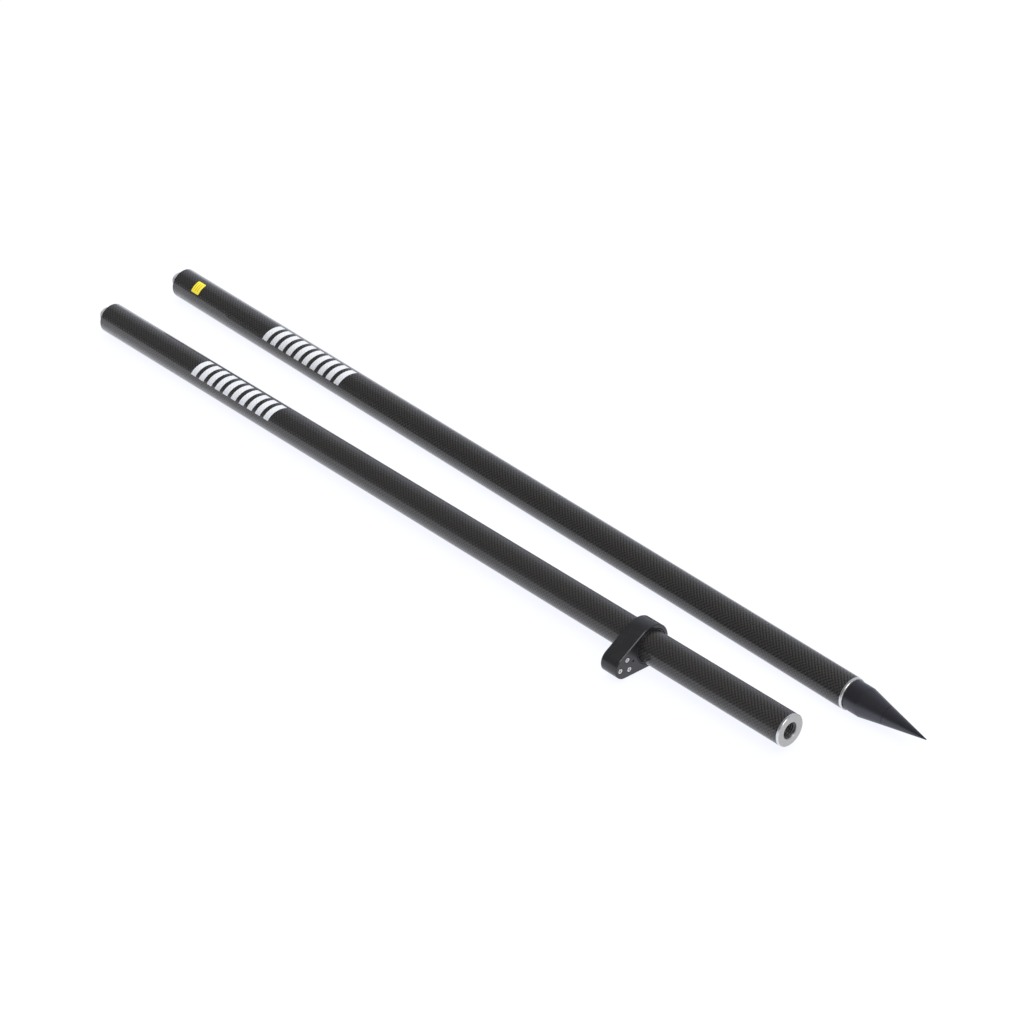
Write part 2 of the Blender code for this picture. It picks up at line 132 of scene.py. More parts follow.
@dataclass
class Patch:
    """A grid of points with one texture coordinate per row and one per column.

    Faces go from column to next column and from row to next row, so their outward side is the
    cross product of the column direction and the row direction. A wrapped way has one more
    coordinate than it has points, and closes on itself.
    """

    points: np.ndarray
    rows: np.ndarray
    columns: np.ndarray

    def faces(self) -> tuple[np.ndarray, np.ndarray]:
        """Corner indices and texture coordinates of the grid's four-sided faces.

        Returns:
            An (n, 4) array of indices and an (n, 4, 2) array of texture coordinates.
        """
        m, n = self.points.shape[:2]
        i, j = np.meshgrid(np.arange(len(self.rows) - 1), np.arange(len(self.columns) - 1), indexing="ij")
        steps = ((0, 0), (0, 1), (1, 1), (1, 0))
        index = [((i + a) % m) * n + (j + b) % n for a, b in steps]
        uv = [np.stack([self.rows[i + a], self.columns[j + b]], -1) for a, b in steps]
        return np.stack(index, -1).reshape(-1, 4), np.stack(uv, 2).reshape(-1, 4, 2)


def rounded(corners: Sequence[Corner], closed: bool = False, steps: int = 4) -> np.ndarray:
    """Outline of straight lines with rounded corners.

    Each corner is cut back along both its lines by its radius times the tangent of half the turn.
    Between the cuts the outline is the arc about the point one radius inside both lines.

    Args:
        corners: Points as (x, radius from the axis, corner radius), in order.
        closed: True if the last point is joined to the first, so that both may be rounded.
        steps: Parts that each arc is split into.

    Returns:
        An (n, 2) array of points.
    """
    outline: list[np.ndarray] = []
    count = len(corners)
    for k, (x, r, fillet) in enumerate(corners):
        here = np.array([x, r])
        if fillet <= 0.0 or (not closed and k in (0, count - 1)):
            outline.append(here[None])
            continue
        before = unit(np.array(corners[k - 1][:2]) - here)
        after = unit(np.array(corners[(k + 1) % count][:2]) - here)
        half = math.acos(float(np.clip(before @ after, -1.0, 1.0))) / 2
        centre = here + unit(before + after) * fillet / math.sin(half)
        start = here + before * fillet / math.tan(half) - centre
        end = here + after * fillet / math.tan(half) - centre
        share = np.linspace(0.0, 1.0, steps + 1)[:, None]
        turn = math.pi - 2 * half
        arc = (np.sin((1 - share) * turn) * start + np.sin(share * turn) * end) / math.sin(turn)
        outline.append(centre + arc)
    return np.concatenate(outline)


def lathe(
    axes: Axes,
    x: np.ndarray,
    radius: np.ndarray,
    segments: int,
    closed: bool = False,
    start: float = -math.pi,
    sweep: float = TAU,
) -> Patch:
    """Surface that a profile makes as it turns about X.

    A point is (x, -r sin a, r cos a), where a runs from start over sweep. The profile goes the way
    that keeps the solid on its right, so its outer side runs towards +X.

    Args:
        axes: Frame of the turned piece.
        x: The profile's places along X, (rows,).
        radius: Its distances from X, (rows,), or (rows, segments) where they change with the angle.
        segments: Points round a full circle, or round the sweep.
        closed: True if the last row is joined to the first.
        start: First angle.
        sweep: Angle that the profile turns through.

    Returns:
        The surface, with the profile's length and the arc length as texture coordinates.
    """
    whole = sweep == TAU
    angles = start + sweep * np.arange(segments + 1) / segments
    used = angles[:-1] if whole else angles
    r = np.broadcast_to(radius[:, None] if radius.ndim == 1 else radius, (len(x), len(used)))
    xs = np.broadcast_to(x[:, None], r.shape)
    points = axes.place(np.stack([xs, -r * np.sin(used), r * np.cos(used)], -1))
    mean = r.mean(1)
    if closed:
        x, mean = np.append(x, x[0]), np.append(mean, mean[0])
    length = np.concatenate([[0.0], np.cumsum(np.hypot(np.diff(x), np.diff(mean)))])
    return Patch(points, length + x[0], angles * float(mean.max()))


def make_mesh(name: str, patches: Sequence[Patch], caps: Sequence[Sequence[int]] = ()) -> bpy.types.Mesh:
    """One mesh from several grids, with coincident points merged, so that poles and seams close.

    Args:
        name: The mesh's name.
        patches: The grids.
        caps: Many-sided faces, as indices into the joined points.

    Returns:
        The mesh, with a map named "surface" in metres.
    """
    points, quads, coordinates, base = [], [], [], 0
    for patch in patches:
        index, uv = patch.faces()
        points.append(patch.points.reshape(-1, 3))
        quads.append(index + base)
        coordinates.append(uv.reshape(-1, 2))
        base += len(points[-1])
    mesh = bpy.data.meshes.new(name)
    faces = np.concatenate(quads).tolist() + [list(cap) for cap in caps]
    mesh.from_pydata(np.concatenate(points).tolist(), [], faces)
    flat = np.concatenate(coordinates)
    layer = mesh.uv_layers.new(name="surface")
    whole = np.zeros((len(mesh.loops), 2))
    whole[: len(flat)] = flat
    layer.data.foreach_set("uv", whole.ravel())
    work = bmesh.new()
    work.from_mesh(mesh)
    bmesh.ops.remove_doubles(work, verts=work.verts, dist=1e-7)
    bmesh.ops.dissolve_degenerate(work, edges=work.edges, dist=1e-8)
    work.to_mesh(mesh)
    work.free()
    return mesh


def show(name: str, mesh: bpy.types.Mesh, sharp: float = 30.0) -> bpy.types.Object:
    """Put a mesh into the scene, smooth except at its sharp edges.

    Args:
        name: The object's name.
        mesh: Its mesh.
        sharp: Degrees that two faces turn by at a sharp edge.

    Returns:
        The object, at the origin.
    """
    piece = bpy.data.objects.new(name, mesh)
    bpy.context.scene.collection.objects.link(piece)
    mesh.shade_smooth()
    mesh.set_sharp_from_angle(angle=math.radians(sharp))
    return piece


def solid(
    name: str, outline: np.ndarray, axes: Axes, segments: int = 96, closed: bool = False
) -> bpy.types.Mesh:
    """Mesh of a profile turned about X."""
    return make_mesh(name, [lathe(axes, outline[:, 0], outline[:, 1], segments, closed)])


def turned(
    name: str, axes: Axes, segments: int, *blocks: tuple[Sequence[float], Sequence]
) -> bpy.types.Mesh:
    """Mesh of a profile in blocks, some of whose radii change with the angle.

    Args:
        name: The mesh's name.
        axes: Frame of the turned piece.
        segments: Points round a circle.
        *blocks: Places along X, (n,), and their radii, (n,) or (n, segments), in order.

    Returns:
        The mesh.
    """
    places, radii = [], []
    for x, radius in blocks:
        places.append(np.asarray(x, float))
        rows = np.asarray(radius, float).reshape(len(x), -1)
        radii.append(np.broadcast_to(rows, (len(x), segments)))
    return make_mesh(name, [lathe(axes, np.concatenate(places), np.concatenate(radii), segments)])


@dataclass(frozen=True)
class Thread:
    """A right-hand screw thread whose ridge climbs one pitch along X for each turn."""

    pitch: float
    crest: float
    root: float
    flat: float = 0.14
    steps: int = 14

    def places(self, start: float, end: float) -> np.ndarray:
        """Evenly spaced places along X from a start up to an end, or down to it."""
        return np.arange(start, end, math.copysign(self.pitch / self.steps, end - start))

    def radius(self, x: np.ndarray, segments: int) -> np.ndarray:
        """Radius of the thread over a grid.

        With p the part of a turn in x / pitch - angle / turn, the ridge is 1 - 2 |p - 1/2|, cut
        flat at both ends, between the root and the crest.

        Args:
            x: Places along X.
            segments: Points round a circle.

        Returns:
            An array of radii, (len(x), segments).
        """
        angle = -math.pi + TAU * np.arange(segments) / segments
        phase = np.mod(x[:, None] / self.pitch - angle[None] / TAU, 1.0)
        ridge = np.clip((1 - 2 * np.abs(phase - 0.5) - self.flat) / (1 - 2 * self.flat), 0.0, 1.0)
        return self.root + (self.crest - self.root) * ridge


def hexagon(flat: float, segments: int) -> np.ndarray:
    """Radius of a regular hexagon: half its width over the cosine of the angle from the nearest flat.

    Args:
        flat: Half the width across the flats.
        segments: Points round a circle.

    Returns:
        An array of radii, (segments,).
    """
    angle = -math.pi + TAU * np.arange(segments) / segments
    sixth = TAU / 6
    return flat / np.cos(np.mod(angle, sixth) - sixth / 2)


# ---- node tools ----------------------------------------------------------------------------------


class Graph:
    """Adds and joins nodes in one node tree."""

    def __init__(self, tree: bpy.types.NodeTree) -> None:
        """Take the tree to work on."""
        self.tree = tree

    def node(self, kind: str, **settings: object) -> bpy.types.Node:
        """Add a node.

        Args:
            kind: Its type.
            **settings: Its own settings by name.

        Returns:
            The node.
        """
        made = self.tree.nodes.new(kind)
        for name, value in settings.items():
            setattr(made, name, value)
        return made

    def feed(self, socket: bpy.types.NodeSocket, term: Term) -> None:
        """Join an output to a socket, or set the socket's own value.

        Args:
            socket: The input socket.
            term: An output socket or a value.
        """
        if isinstance(term, bpy.types.NodeSocket):
            self.tree.links.new(term, socket)
        else:
            socket.default_value = term

    def value(self, operation: str, *terms: Term, clamp: bool = False) -> bpy.types.NodeSocket:
        """Add a Math node.

        Args:
            operation: What it works out.
            *terms: What it works on.
            clamp: True to keep the result from 0 to 1.

        Returns:
            Its output.
        """
        made = self.node("ShaderNodeMath", operation=operation, use_clamp=clamp)
        for socket, term in zip(made.inputs, terms):
            self.feed(socket, term)
        return made.outputs[0]

    def mix(self, share: Term, first: Term, second: Term, colour: bool = False) -> bpy.types.NodeSocket:
        """Add a Mix node.

        Args:
            share: Share of the second term.
            first: Result at share 0.
            second: Result at share 1.
            colour: True for colours, False for numbers.

        Returns:
            Its output.
        """
        made = self.node("ShaderNodeMix", data_type="RGBA" if colour else "FLOAT")
        offset = 6 if colour else 2
        self.feed(made.inputs[0], share)
        self.feed(made.inputs[offset], first)
        self.feed(made.inputs[offset + 1], second)
        return made.outputs[2 if colour else 0]

    def noise(self, vector: Term, scale: float, detail: float = 2.0) -> bpy.types.NodeSocket:
        """Add a Noise Texture.

        Args:
            vector: Where it is read.
            scale: Its scale.
            detail: Its detail.

        Returns:
            Its value, from 0 to 1.
        """
        made = self.node("ShaderNodeTexNoise")
        self.feed(made.inputs["Vector"], vector)
        self.feed(made.inputs["Scale"], scale)
        self.feed(made.inputs["Detail"], detail)
        return made.outputs[0]

    def parts(self, vector: Term) -> list[bpy.types.NodeSocket]:
        """Split a vector.

        Args:
            vector: The vector.

        Returns:
            Its three parts.
        """
        made = self.node("ShaderNodeSeparateXYZ")
        self.feed(made.inputs[0], vector)
        return list(made.outputs)

    def vector(self, *parts: Term) -> bpy.types.NodeSocket:
        """Join numbers into a vector.

        Args:
            *parts: Up to three parts. The rest are 0.

        Returns:
            The vector.
        """
        made = self.node("ShaderNodeCombineXYZ")
        for socket, part in zip(made.inputs, parts):
            self.feed(socket, part)
        return made.outputs[0]

    def within(self, term: Term, low: float, high: float) -> bpy.types.NodeSocket:
        """1 where a number lies between two limits, and 0 elsewhere."""
        above = self.value("GREATER_THAN", term, low)
        return self.value("MULTIPLY", above, self.value("LESS_THAN", term, high))

    def surface(self) -> bpy.types.NodeSocket:
        """The piece's own map, in metres."""
        return self.node("ShaderNodeUVMap", uv_map="surface").outputs[0]

    def place(self) -> bpy.types.NodeSocket:
        """Object coordinates."""
        return self.node("ShaderNodeTexCoord").outputs["Object"]

    def effect(self, effect: "Effect", **terms: Term) -> dict[str, bpy.types.NodeSocket]:
        """Add a shared effect.

        Args:
            effect: Which one.
            **terms: Its inputs by name.

        Returns:
            Its outputs by name.
        """
        made = self.node("ShaderNodeGroup", node_tree=EFFECTS[effect]())
        for name, term in terms.items():
            self.feed(made.inputs[name], term)
        return {socket.name: socket for socket in made.outputs}


class Effect(Enum):
    """Surface effects that more than one finish uses."""

    TURNING = "turning_marks"
    GRAIN = "blasted_grain"
    TWILL = "twill_weave"
    WIPES = "wiped_patches"


def group(
    name: str, inputs: dict[str, float], outputs: Sequence[str], normal: bool = False
) -> tuple[bpy.types.NodeTree, Graph, dict, dict]:
    """New shader node group with a Vector input.

    Args:
        name: The group's name.
        inputs: Number inputs and their usual values.
        outputs: Number outputs.
        normal: True for one more output, Normal.

    Returns:
        The tree, a Graph on it, its inputs by name, and the sockets its outputs are fed through.
    """
    tree = bpy.data.node_groups.new(name, "ShaderNodeTree")
    tree.interface.new_socket(name="Vector", in_out="INPUT", socket_type="NodeSocketVector")
    for label, usual in inputs.items():
        made = tree.interface.new_socket(name=label, in_out="INPUT", socket_type="NodeSocketFloat")
        made.default_value = usual
    for label in outputs:
        tree.interface.new_socket(name=label, in_out="OUTPUT", socket_type="NodeSocketFloat")
    if normal:
        tree.interface.new_socket(name="Normal", in_out="OUTPUT", socket_type="NodeSocketVector")
    graph = Graph(tree)
    given = graph.node("NodeGroupInput")
    taken = graph.node("NodeGroupOutput")
    return tree, graph, {s.name: s for s in given.outputs}, {s.name: s for s in taken.inputs}


def once(build: Callable[[], bpy.types.NodeTree]) -> Callable[[], bpy.types.NodeTree]:
    """Wrap a builder so that its group is made at its first use and found again later.

    Args:
        build: The builder.

    Returns:
        A function that gives the group.
    """
    kept: list[bpy.types.NodeTree] = []

    def found() -> bpy.types.NodeTree:
        """Make the group if need be.

        Returns:
            The group.
        """
        if not kept:
            kept.append(build())
        return kept[0]

    return found


def turning_marks() -> bpy.types.NodeTree:
    """Fine rings that a lathe tool leaves: a wave along the profile, made uneven by noise on it.

    Returns:
        The group, with outputs Height and Tone.
    """
    tree, g, given, taken = group(Effect.TURNING.value, {"Pitch": 0.2 * MM}, ("Height", "Tone"))
    turns = g.value("DIVIDE", g.parts(given["Vector"])[0], given["Pitch"])
    line = g.node("ShaderNodeTexNoise", noise_dimensions="1D")
    g.feed(line.inputs["W"], g.value("MULTIPLY", turns, 0.37))
    g.feed(line.inputs["Scale"], 1.0)
    g.feed(line.inputs["Detail"], 3.0)
    wave = g.value("SINE", g.value("MULTIPLY", turns, TAU))
    g.feed(taken["Height"], g.value("ADD", g.value("MULTIPLY", wave, 0.3), line.outputs[0]))
    g.feed(taken["Tone"], line.outputs[0])
    return tree


def blasted_grain() -> bpy.types.NodeTree:
    """Even fine grain of blasted or moulded surfaces, with a slow cloudiness under it.

    Returns:
        The group, with outputs Height and Tone.
    """
    tree, g, given, taken = group(Effect.GRAIN.value, {"Size": 0.3 * MM}, ("Height", "Tone"))
    scaled = g.node("ShaderNodeVectorMath", operation="SCALE")
    g.feed(scaled.inputs[0], given["Vector"])
    g.feed(scaled.inputs["Scale"], g.value("DIVIDE", 1.0, given["Size"]))
    g.feed(taken["Height"], g.noise(scaled.outputs[0], 1.0, 3.0))
    g.feed(taken["Tone"], g.noise(given["Vector"], 90.0))
    return tree


def twill_weave() -> bpy.types.NodeTree:
    """Two-over-two twill laid at about 45 degrees on the surface map.

    A and B count tow widths across the two tow directions: (length times stretch, plus or minus the
    arc) over the tow's width times the root of 2. The tow that is counted by B lies on top where the
    whole part of A less that of B, counted in fours, is 0 or 1. A tow's crown is the sine of half a
    turn over its width, so it slopes as the cosine, in the direction across it. Threads of noise run
    along each tow.

    Returns:
        The group, with outputs Across A and B (the crowns), Over, Thread and Normal.
    """
    usual = {"Tow": 2.7 * MM, "Stretch": 1.0, "Slope": 0.3}
    outputs = ("Across A", "Across B", "Over", "Thread")
    tree, g, given, taken = group(Effect.TWILL.value, usual, outputs, normal=True)
    length, arc, _ = g.parts(given["Vector"])
    along = g.value("MULTIPLY", length, given["Stretch"])
    width = g.value("MULTIPLY", given["Tow"], math.sqrt(2.0))
    a = g.value("DIVIDE", g.value("ADD", along, arc), width)
    b = g.value("DIVIDE", g.value("SUBTRACT", along, arc), width)
    count = g.value("SUBTRACT", g.value("FLOOR", a), g.value("FLOOR", b))
    over = g.value("LESS_THAN", g.value("FLOORED_MODULO", count, 4.0), 1.5)
    crowns, tilts, threads = [], [], []
    for across, run in ((a, b), (b, a)):
        half = g.value("MULTIPLY", g.value("FRACT", across), math.pi)
        crowns.append(g.value("SINE", half))
        tilts.append(g.value("MULTIPLY", g.value("COSINE", half), given["Slope"]))
        fibre = g.vector(g.value("MULTIPLY", across, 7.0), g.value("MULTIPLY", run, 0.5))
        threads.append(g.noise(fibre, 1.0))
    tilt = g.mix(over, tilts[0], tilts[1])
    side = g.value("MULTIPLY", tilt, g.mix(over, -1.0, 1.0))
    lean = g.vector(g.value("MULTIPLY_ADD", tilt, -0.35, 0.5), g.value("MULTIPLY_ADD", side, 0.35, 0.5), 1.0)
    leaning = g.node("ShaderNodeNormalMap", uv_map="surface")
    g.feed(leaning.inputs["Color"], lean)
    results = (*crowns, over, g.mix(over, threads[0], threads[1]))
    for name, result in zip(outputs, results):
        g.feed(taken[name], result)
    g.feed(taken["Normal"], leaning.outputs[0])
    return tree


def wiped_patches() -> bpy.types.NodeTree:
    """Faint large patches where a surface was handled or wiped, from noise on place.

    Returns:
        The group, with the output Mask.
    """
    tree, g, given, taken = group(Effect.WIPES.value, {"Low": 0.45, "High": 0.7}, ("Mask",))
    cloud = g.noise(given["Vector"], 14.0, 4.0)
    span = g.value("SUBTRACT", given["High"], given["Low"])
    g.feed(taken["Mask"], g.value("DIVIDE", g.value("SUBTRACT", cloud, given["Low"]), span, clamp=True))
    return tree


EFFECTS: dict[Effect, Callable[[], bpy.types.NodeTree]] = {
    Effect.TURNING: once(turning_marks),
    Effect.GRAIN: once(blasted_grain),
    Effect.TWILL: once(twill_weave),
    Effect.WIPES: once(wiped_patches),
}


# ---- finishes ------------------------------------------------------------------------------------


@dataclass(frozen=True)
class Finish:
    """What every finish has: a name, a colour and the shader's own fixed numbers."""

    name: str
    colour: tuple[float, float, float]
    roughness: float = 0.4
    fixed: tuple[tuple[str, float], ...] = ()

    def material(self) -> bpy.types.Material:
        """Make the material at its first use, and find it again later.

        Returns:
            The material.
        """
        found = bpy.data.materials.get(self.name)
        if found:
            return found
        made = bpy.data.materials.new(self.name)
        made.use_nodes = True
        graph = Graph(made.node_tree)
        shader = made.node_tree.nodes["Principled BSDF"]
        shader.inputs["Base Color"].default_value = (*self.colour, 1.0)
        shader.inputs["Roughness"].default_value = self.roughness
        for socket, number in self.fixed:
            shader.inputs[socket].default_value = number
        self.dress(graph, shader)
        return made

    def dress(self, graph: Graph, shader: bpy.types.Node) -> None:
        """Add the finish's pattern to its shader."""

    def tones(self, graph: Graph, share: Term, darker: float, lighter: float) -> bpy.types.NodeSocket:
        """Mix a darker and a lighter tone of the finish's colour.

        Args:
            graph: The material's graph.
            share: Share of the lighter tone.
            darker: What the colour is multiplied by at share 0.
            lighter: What it is multiplied by at share 1.

        Returns:
            The mixed colour.
        """
        low, high = ((*(c * tone for c in self.colour), 1.0) for tone in (darker, lighter))
        return graph.mix(share, low, high, colour=True)

    def roughen(
        self, graph: Graph, shader: bpy.types.Node, tone: Term, uneven: float, wiped: float
    ) -> bpy.types.NodeSocket:
        """Vary the roughness with a tone about its usual value, and raise it in wiped patches.

        Args:
            graph: The material's graph.
            shader: Its shader.
            tone: Pattern from 0 to 1.
            uneven: What the pattern adds from its 0 to its 1.
            wiped: What a patch adds.

        Returns:
            The mask of the patches.
        """
        mask = graph.effect(Effect.WIPES, Vector=graph.place())["Mask"]
        rough = graph.value("MULTIPLY_ADD", tone, uneven, self.roughness - uneven / 2)
        graph.feed(shader.inputs["Roughness"], graph.value("MULTIPLY_ADD", mask, wiped, rough))
        return mask

    def emboss(self, graph: Graph, shader: bpy.types.Node, height: Term, depth: float) -> None:
        """Feed a height pattern into the shader's normal through a Bump node.

        Args:
            graph: The material's graph.
            shader: Its shader.
            height: Pattern from 0 to 1.
            depth: Height that 1 stands for.
        """
        bump = graph.node("ShaderNodeBump")
        graph.feed(bump.inputs["Strength"], 1.0)
        graph.feed(bump.inputs["Distance"], depth)
        graph.feed(bump.inputs["Height"], height)
        graph.feed(shader.inputs["Normal"], bump.outputs[0])


@dataclass(frozen=True)
class Marking:
    """A row of plain slanted bars painted on a tube, in the tube's own map."""

    start: float
    length: float
    low: float
    high: float
    pitch: float = 12.6 * MM
    filled: float = 0.58
    slant: float = 0.30

    def mask(self, graph: Graph, surface: bpy.types.NodeSocket) -> bpy.types.NodeSocket:
        """Mask of the paint: inside the row's length and height, and a bar's share of the pitch.

        Args:
            graph: The material's graph.
            surface: The tube's map.

        Returns:
            1 on the paint and 0 off it.
        """
        length, arc, _ = graph.parts(surface)
        along = graph.value("SUBTRACT", graph.value("MULTIPLY_ADD", arc, self.slant, length), self.start)
        turn = graph.value("FRACT", graph.value("DIVIDE", along, self.pitch))
        bars = graph.value("LESS_THAN", turn, self.filled)
        bars = graph.value("MULTIPLY", bars, graph.within(along, 0.0, self.length))
        return graph.value("MULTIPLY", bars, graph.within(arc, self.low, self.high))


@dataclass(frozen=True)
class ClearCoatedCarbon(Finish):
    """Woven carbon under a clear coat, with a painted marking."""

    tow: float = TAU * 15.875 * MM / (26 * math.sqrt(2.0))
    stretch: float = 0.962
    slope: float = 0.25
    crossing: float = 0.3
    threads: float = 0.5
    contrast: tuple[float, float] = (-0.35, 1.75)
    painted_roughness: float = 0.5
    radius: float = 15.875 * MM
    marking: Marking = Marking(0.155, 0.125, -4.7 * MM, 19.4 * MM)
    paint: tuple[float, float, float] = (0.70, 0.715, 0.75)

    def dress(self, graph: Graph, shader: bpy.types.Node) -> None:
        """Weave in colour, roughness and normal under the coat, and the marking painted over it.

        The base colour is lightened on the crown of each tow as a painted sheen. The tow direction that carries
        this painted highlight trades places round the tube, as the cosine of twice the angle.

        Args:
            graph: The material's graph.
            shader: Its shader.
        """
        surface = graph.surface()
        twill = graph.effect(Effect.TWILL, Vector=surface, Tow=self.tow, Stretch=self.stretch, Slope=self.slope)
        # Painted highlight: facing picks, by the angle round the tube, which tow direction's crowns are
        # lightened in the base colour.
        turn = graph.value("COSINE", graph.value("DIVIDE", graph.parts(surface)[1], self.radius / 2))
        facing = graph.value("MULTIPLY_ADD", turn, 0.5, 0.5)
        sheen_streaks = graph.mix(facing, twill["Across A"], twill["Across B"])
        crossing = graph.mix(twill["Over"], twill["Across A"], twill["Across B"])
        crown = graph.mix(self.crossing, sheen_streaks, crossing)
        threads = graph.value("MULTIPLY_ADD", twill["Thread"], self.threads, -self.threads / 2)
        # Painted sheen: the crowns lighten the base colour over the weave's own pattern and threads.
        weave_and_sheen = self.tones(graph, graph.value("ADD", crown, threads), *self.contrast)
        paint = self.marking.mask(graph, surface)
        graph.feed(shader.inputs["Base Color"], graph.mix(paint, weave_and_sheen, (*self.paint, 1.0), colour=True))
        rough = graph.mix(twill["Over"], self.roughness, self.roughness + 0.04)
        graph.feed(shader.inputs["Roughness"], graph.mix(paint, rough, self.painted_roughness))
        graph.feed(shader.inputs["Normal"], twill["Normal"])


@dataclass(frozen=True)
class TurnedMetal(Finish):
    """Metal with the fine rings of the lathe."""

    pitch: float = 0.22 * MM
    depth: float = 0.004 * MM
    spread: float = 0.10
    cloudy: float = 0.3

    def dress(self, graph: Graph, shader: bpy.types.Node) -> None:
        """Rings in height, tone and roughness, with wiped patches in the tone and roughness.

        Args:
            graph: The material's graph.
            shader: Its shader.
        """
        turning = graph.effect(Effect.TURNING, Vector=graph.surface(), Pitch=self.pitch)
        patches = self.roughen(graph, shader, turning["Tone"], 0.12, 0.06)
        lines = graph.value("MULTIPLY", turning["Tone"], 1 - self.cloudy)
        share = graph.value("MULTIPLY_ADD", patches, self.cloudy, lines)
        graph.feed(shader.inputs["Base Color"], self.tones(graph, share, 1 - self.spread, 1 + self.spread))
        self.emboss(graph, shader, turning["Height"], self.depth)


@dataclass(frozen=True)
class Grained(Finish):
    """Blasted, moulded or rubber surface with an even grain."""

    size: float = 0.25 * MM
    depth: float = 0.006 * MM
    spread: float = 0.18

    def dress(self, graph: Graph, shader: bpy.types.Node) -> None:
        """Grain in height, a slow cloud in tone, and wiped patches in the roughness.

        Args:
            graph: The material's graph.
            shader: Its shader.
        """
        grain = graph.effect(Effect.GRAIN, Vector=graph.place(), Size=self.size)
        tone = self.tones(graph, grain["Tone"], 1 - self.spread, 1 + self.spread)
        graph.feed(shader.inputs["Base Color"], tone)
        self.roughen(graph, shader, grain["Tone"], 0.10, 0.05)
        self.emboss(graph, shader, grain["Height"], self.depth)


@dataclass(frozen=True)
class PrintedFilm(Finish):
    """Coloured film with a few plain bars printed on it."""

    length: float = 12.0 * MM
    width: float = 14.0 * MM
    ink: tuple[float, float, float] = (0.26, 0.19, 0.01)
    blank: float = 0.62

    def dress(self, graph: Graph, shader: bpy.types.Node) -> None:
        """Three short bars across the film, broken by noise so that the ink looks worn.

        Args:
            graph: The material's graph.
            shader: Its shader.
        """
        surface = graph.surface()
        along, across, _ = graph.parts(surface)
        lines = graph.value("FRACT", graph.value("DIVIDE", along, self.length / 4))
        bars = graph.value("GREATER_THAN", lines, self.blank)
        bars = graph.value("MULTIPLY", bars, graph.within(across, 0.14 * self.width, 0.80 * self.width))
        bars = graph.value("MULTIPLY", bars, graph.within(along, 0.16 * self.length, 0.90 * self.length))
        worn = graph.noise(surface, 900.0, 3.0)
        ink = graph.value("MULTIPLY", bars, graph.value("MULTIPLY", worn, 1.25, clamp=True))
        grain = graph.effect(Effect.GRAIN, Vector=graph.place(), Size=0.4 * MM)
        film = self.tones(graph, grain["Tone"], 0.94, 1.04)
        graph.feed(shader.inputs["Base Color"], graph.mix(ink, film, (*self.ink, 1.0), colour=True))
        self.emboss(graph, shader, grain["Height"], 0.004 * MM)


@dataclass(frozen=True)
class RingedDisc(Finish):
    """Matte disc with a thin dark circle, which a level's bubble is centred in."""

    circle: float = 3.1 * MM
    line: float = 0.28 * MM
    ink: tuple[float, float, float] = (0.02, 0.02, 0.02)

    def dress(self, graph: Graph, shader: bpy.types.Node) -> None:
        """The circle is where the distance from the middle is the circle's radius.

        Args:
            graph: The material's graph.
            shader: Its shader.
        """
        reach = graph.parts(graph.surface())[0]
        gap = graph.value("ABSOLUTE", graph.value("SUBTRACT", reach, self.circle))
        ring = graph.value("LESS_THAN", gap, self.line / 2)
        tone = graph.mix(ring, (*self.colour, 1.0), (*self.ink, 1.0), colour=True)
        graph.feed(shader.inputs["Base Color"], tone)
        grain = graph.effect(Effect.GRAIN, Vector=graph.place(), Size=0.3 * MM)
        self.emboss(graph, shader, grain["Height"], 0.003 * MM)


@dataclass(frozen=True)
class LitFloor(Finish):
    """Pale light-table that glows a little more far away in front than near the pole and behind it."""

    near: float = 0.92
    far: float = 0.94
    tint: tuple[float, float, float] = (0.985, 1.0, 1.07)
    start: float = -0.3
    rise: float = 2.5

    def dress(self, graph: Graph, shader: bpy.types.Node) -> None:
        """Glow goes from its near to its far value over the rise, from the start on, towards -Y.

        Args:
            graph: The material's graph.
            shader: Its shader.
        """
        y = graph.parts(graph.place())[1]
        share = graph.value("MULTIPLY_ADD", y, -1 / self.rise, self.start / self.rise, clamp=True)
        near, far = ((*(glow * part for part in self.tint), 1.0) for glow in (self.near, self.far))
        graph.feed(shader.inputs["Emission Color"], graph.mix(share, near, far, colour=True))
        shader.inputs["Emission Strength"].default_value = 1.0


CARBON = ClearCoatedCarbon(
    "clear_coated_carbon", (0.0195, 0.0180, 0.0174), 0.38,
    (("Coat Weight", 0.8), ("Coat Roughness", 0.02), ("Coat IOR", 1.45), ("Specular IOR Level", 0.34)),
)
ALUMINIUM = TurnedMetal("turned_aluminium", (0.95, 0.955, 0.96), 0.36, (("Metallic", 0.25),))
# Painted shade: a darker copy of the aluminium for faced ends, with its colour lowered to stand for the dimmer
# light they reflect.
FACED_SHADED_ALUMINIUM = TurnedMetal("faced_aluminium_painted_shade", (0.46, 0.452, 0.435), 0.42, (("Metallic", 0.7),))
# Painted shade: a dark copy of the insert's metal for the inside of the socket.
SHADED_BORE = TurnedMetal("painted_shade_bore", (0.13, 0.13, 0.135), 0.40, (("Metallic", 0.8),))
STUD_STEEL = TurnedMetal("stainless_thread", (0.74, 0.74, 0.74), 0.36, (("Metallic", 0.55),))
SCREW_STEEL = TurnedMetal("bright_screw_steel", (0.64, 0.63, 0.61), 0.26, (("Metallic", 1.0),))
POINT_STEEL = TurnedMetal(
    "blackened_steel", (0.074, 0.075, 0.078), 0.58,
    (("Metallic", 0.2), ("Specular IOR Level", 0.5)), depth=0.006 * MM,
)
ANODISED = Grained("satin_black_anodised", (0.016, 0.016, 0.018), 0.27, (("Metallic", 0.0),), size=0.22 * MM)
NYLON = Grained("black_nylon", (0.016, 0.016, 0.018), 0.5)
RUBBER = Grained("seal_rubber", (0.014, 0.014, 0.014), 0.72)
FILM = PrintedFilm("yellow_label_film", (0.90, 0.74, 0.05), 0.42)
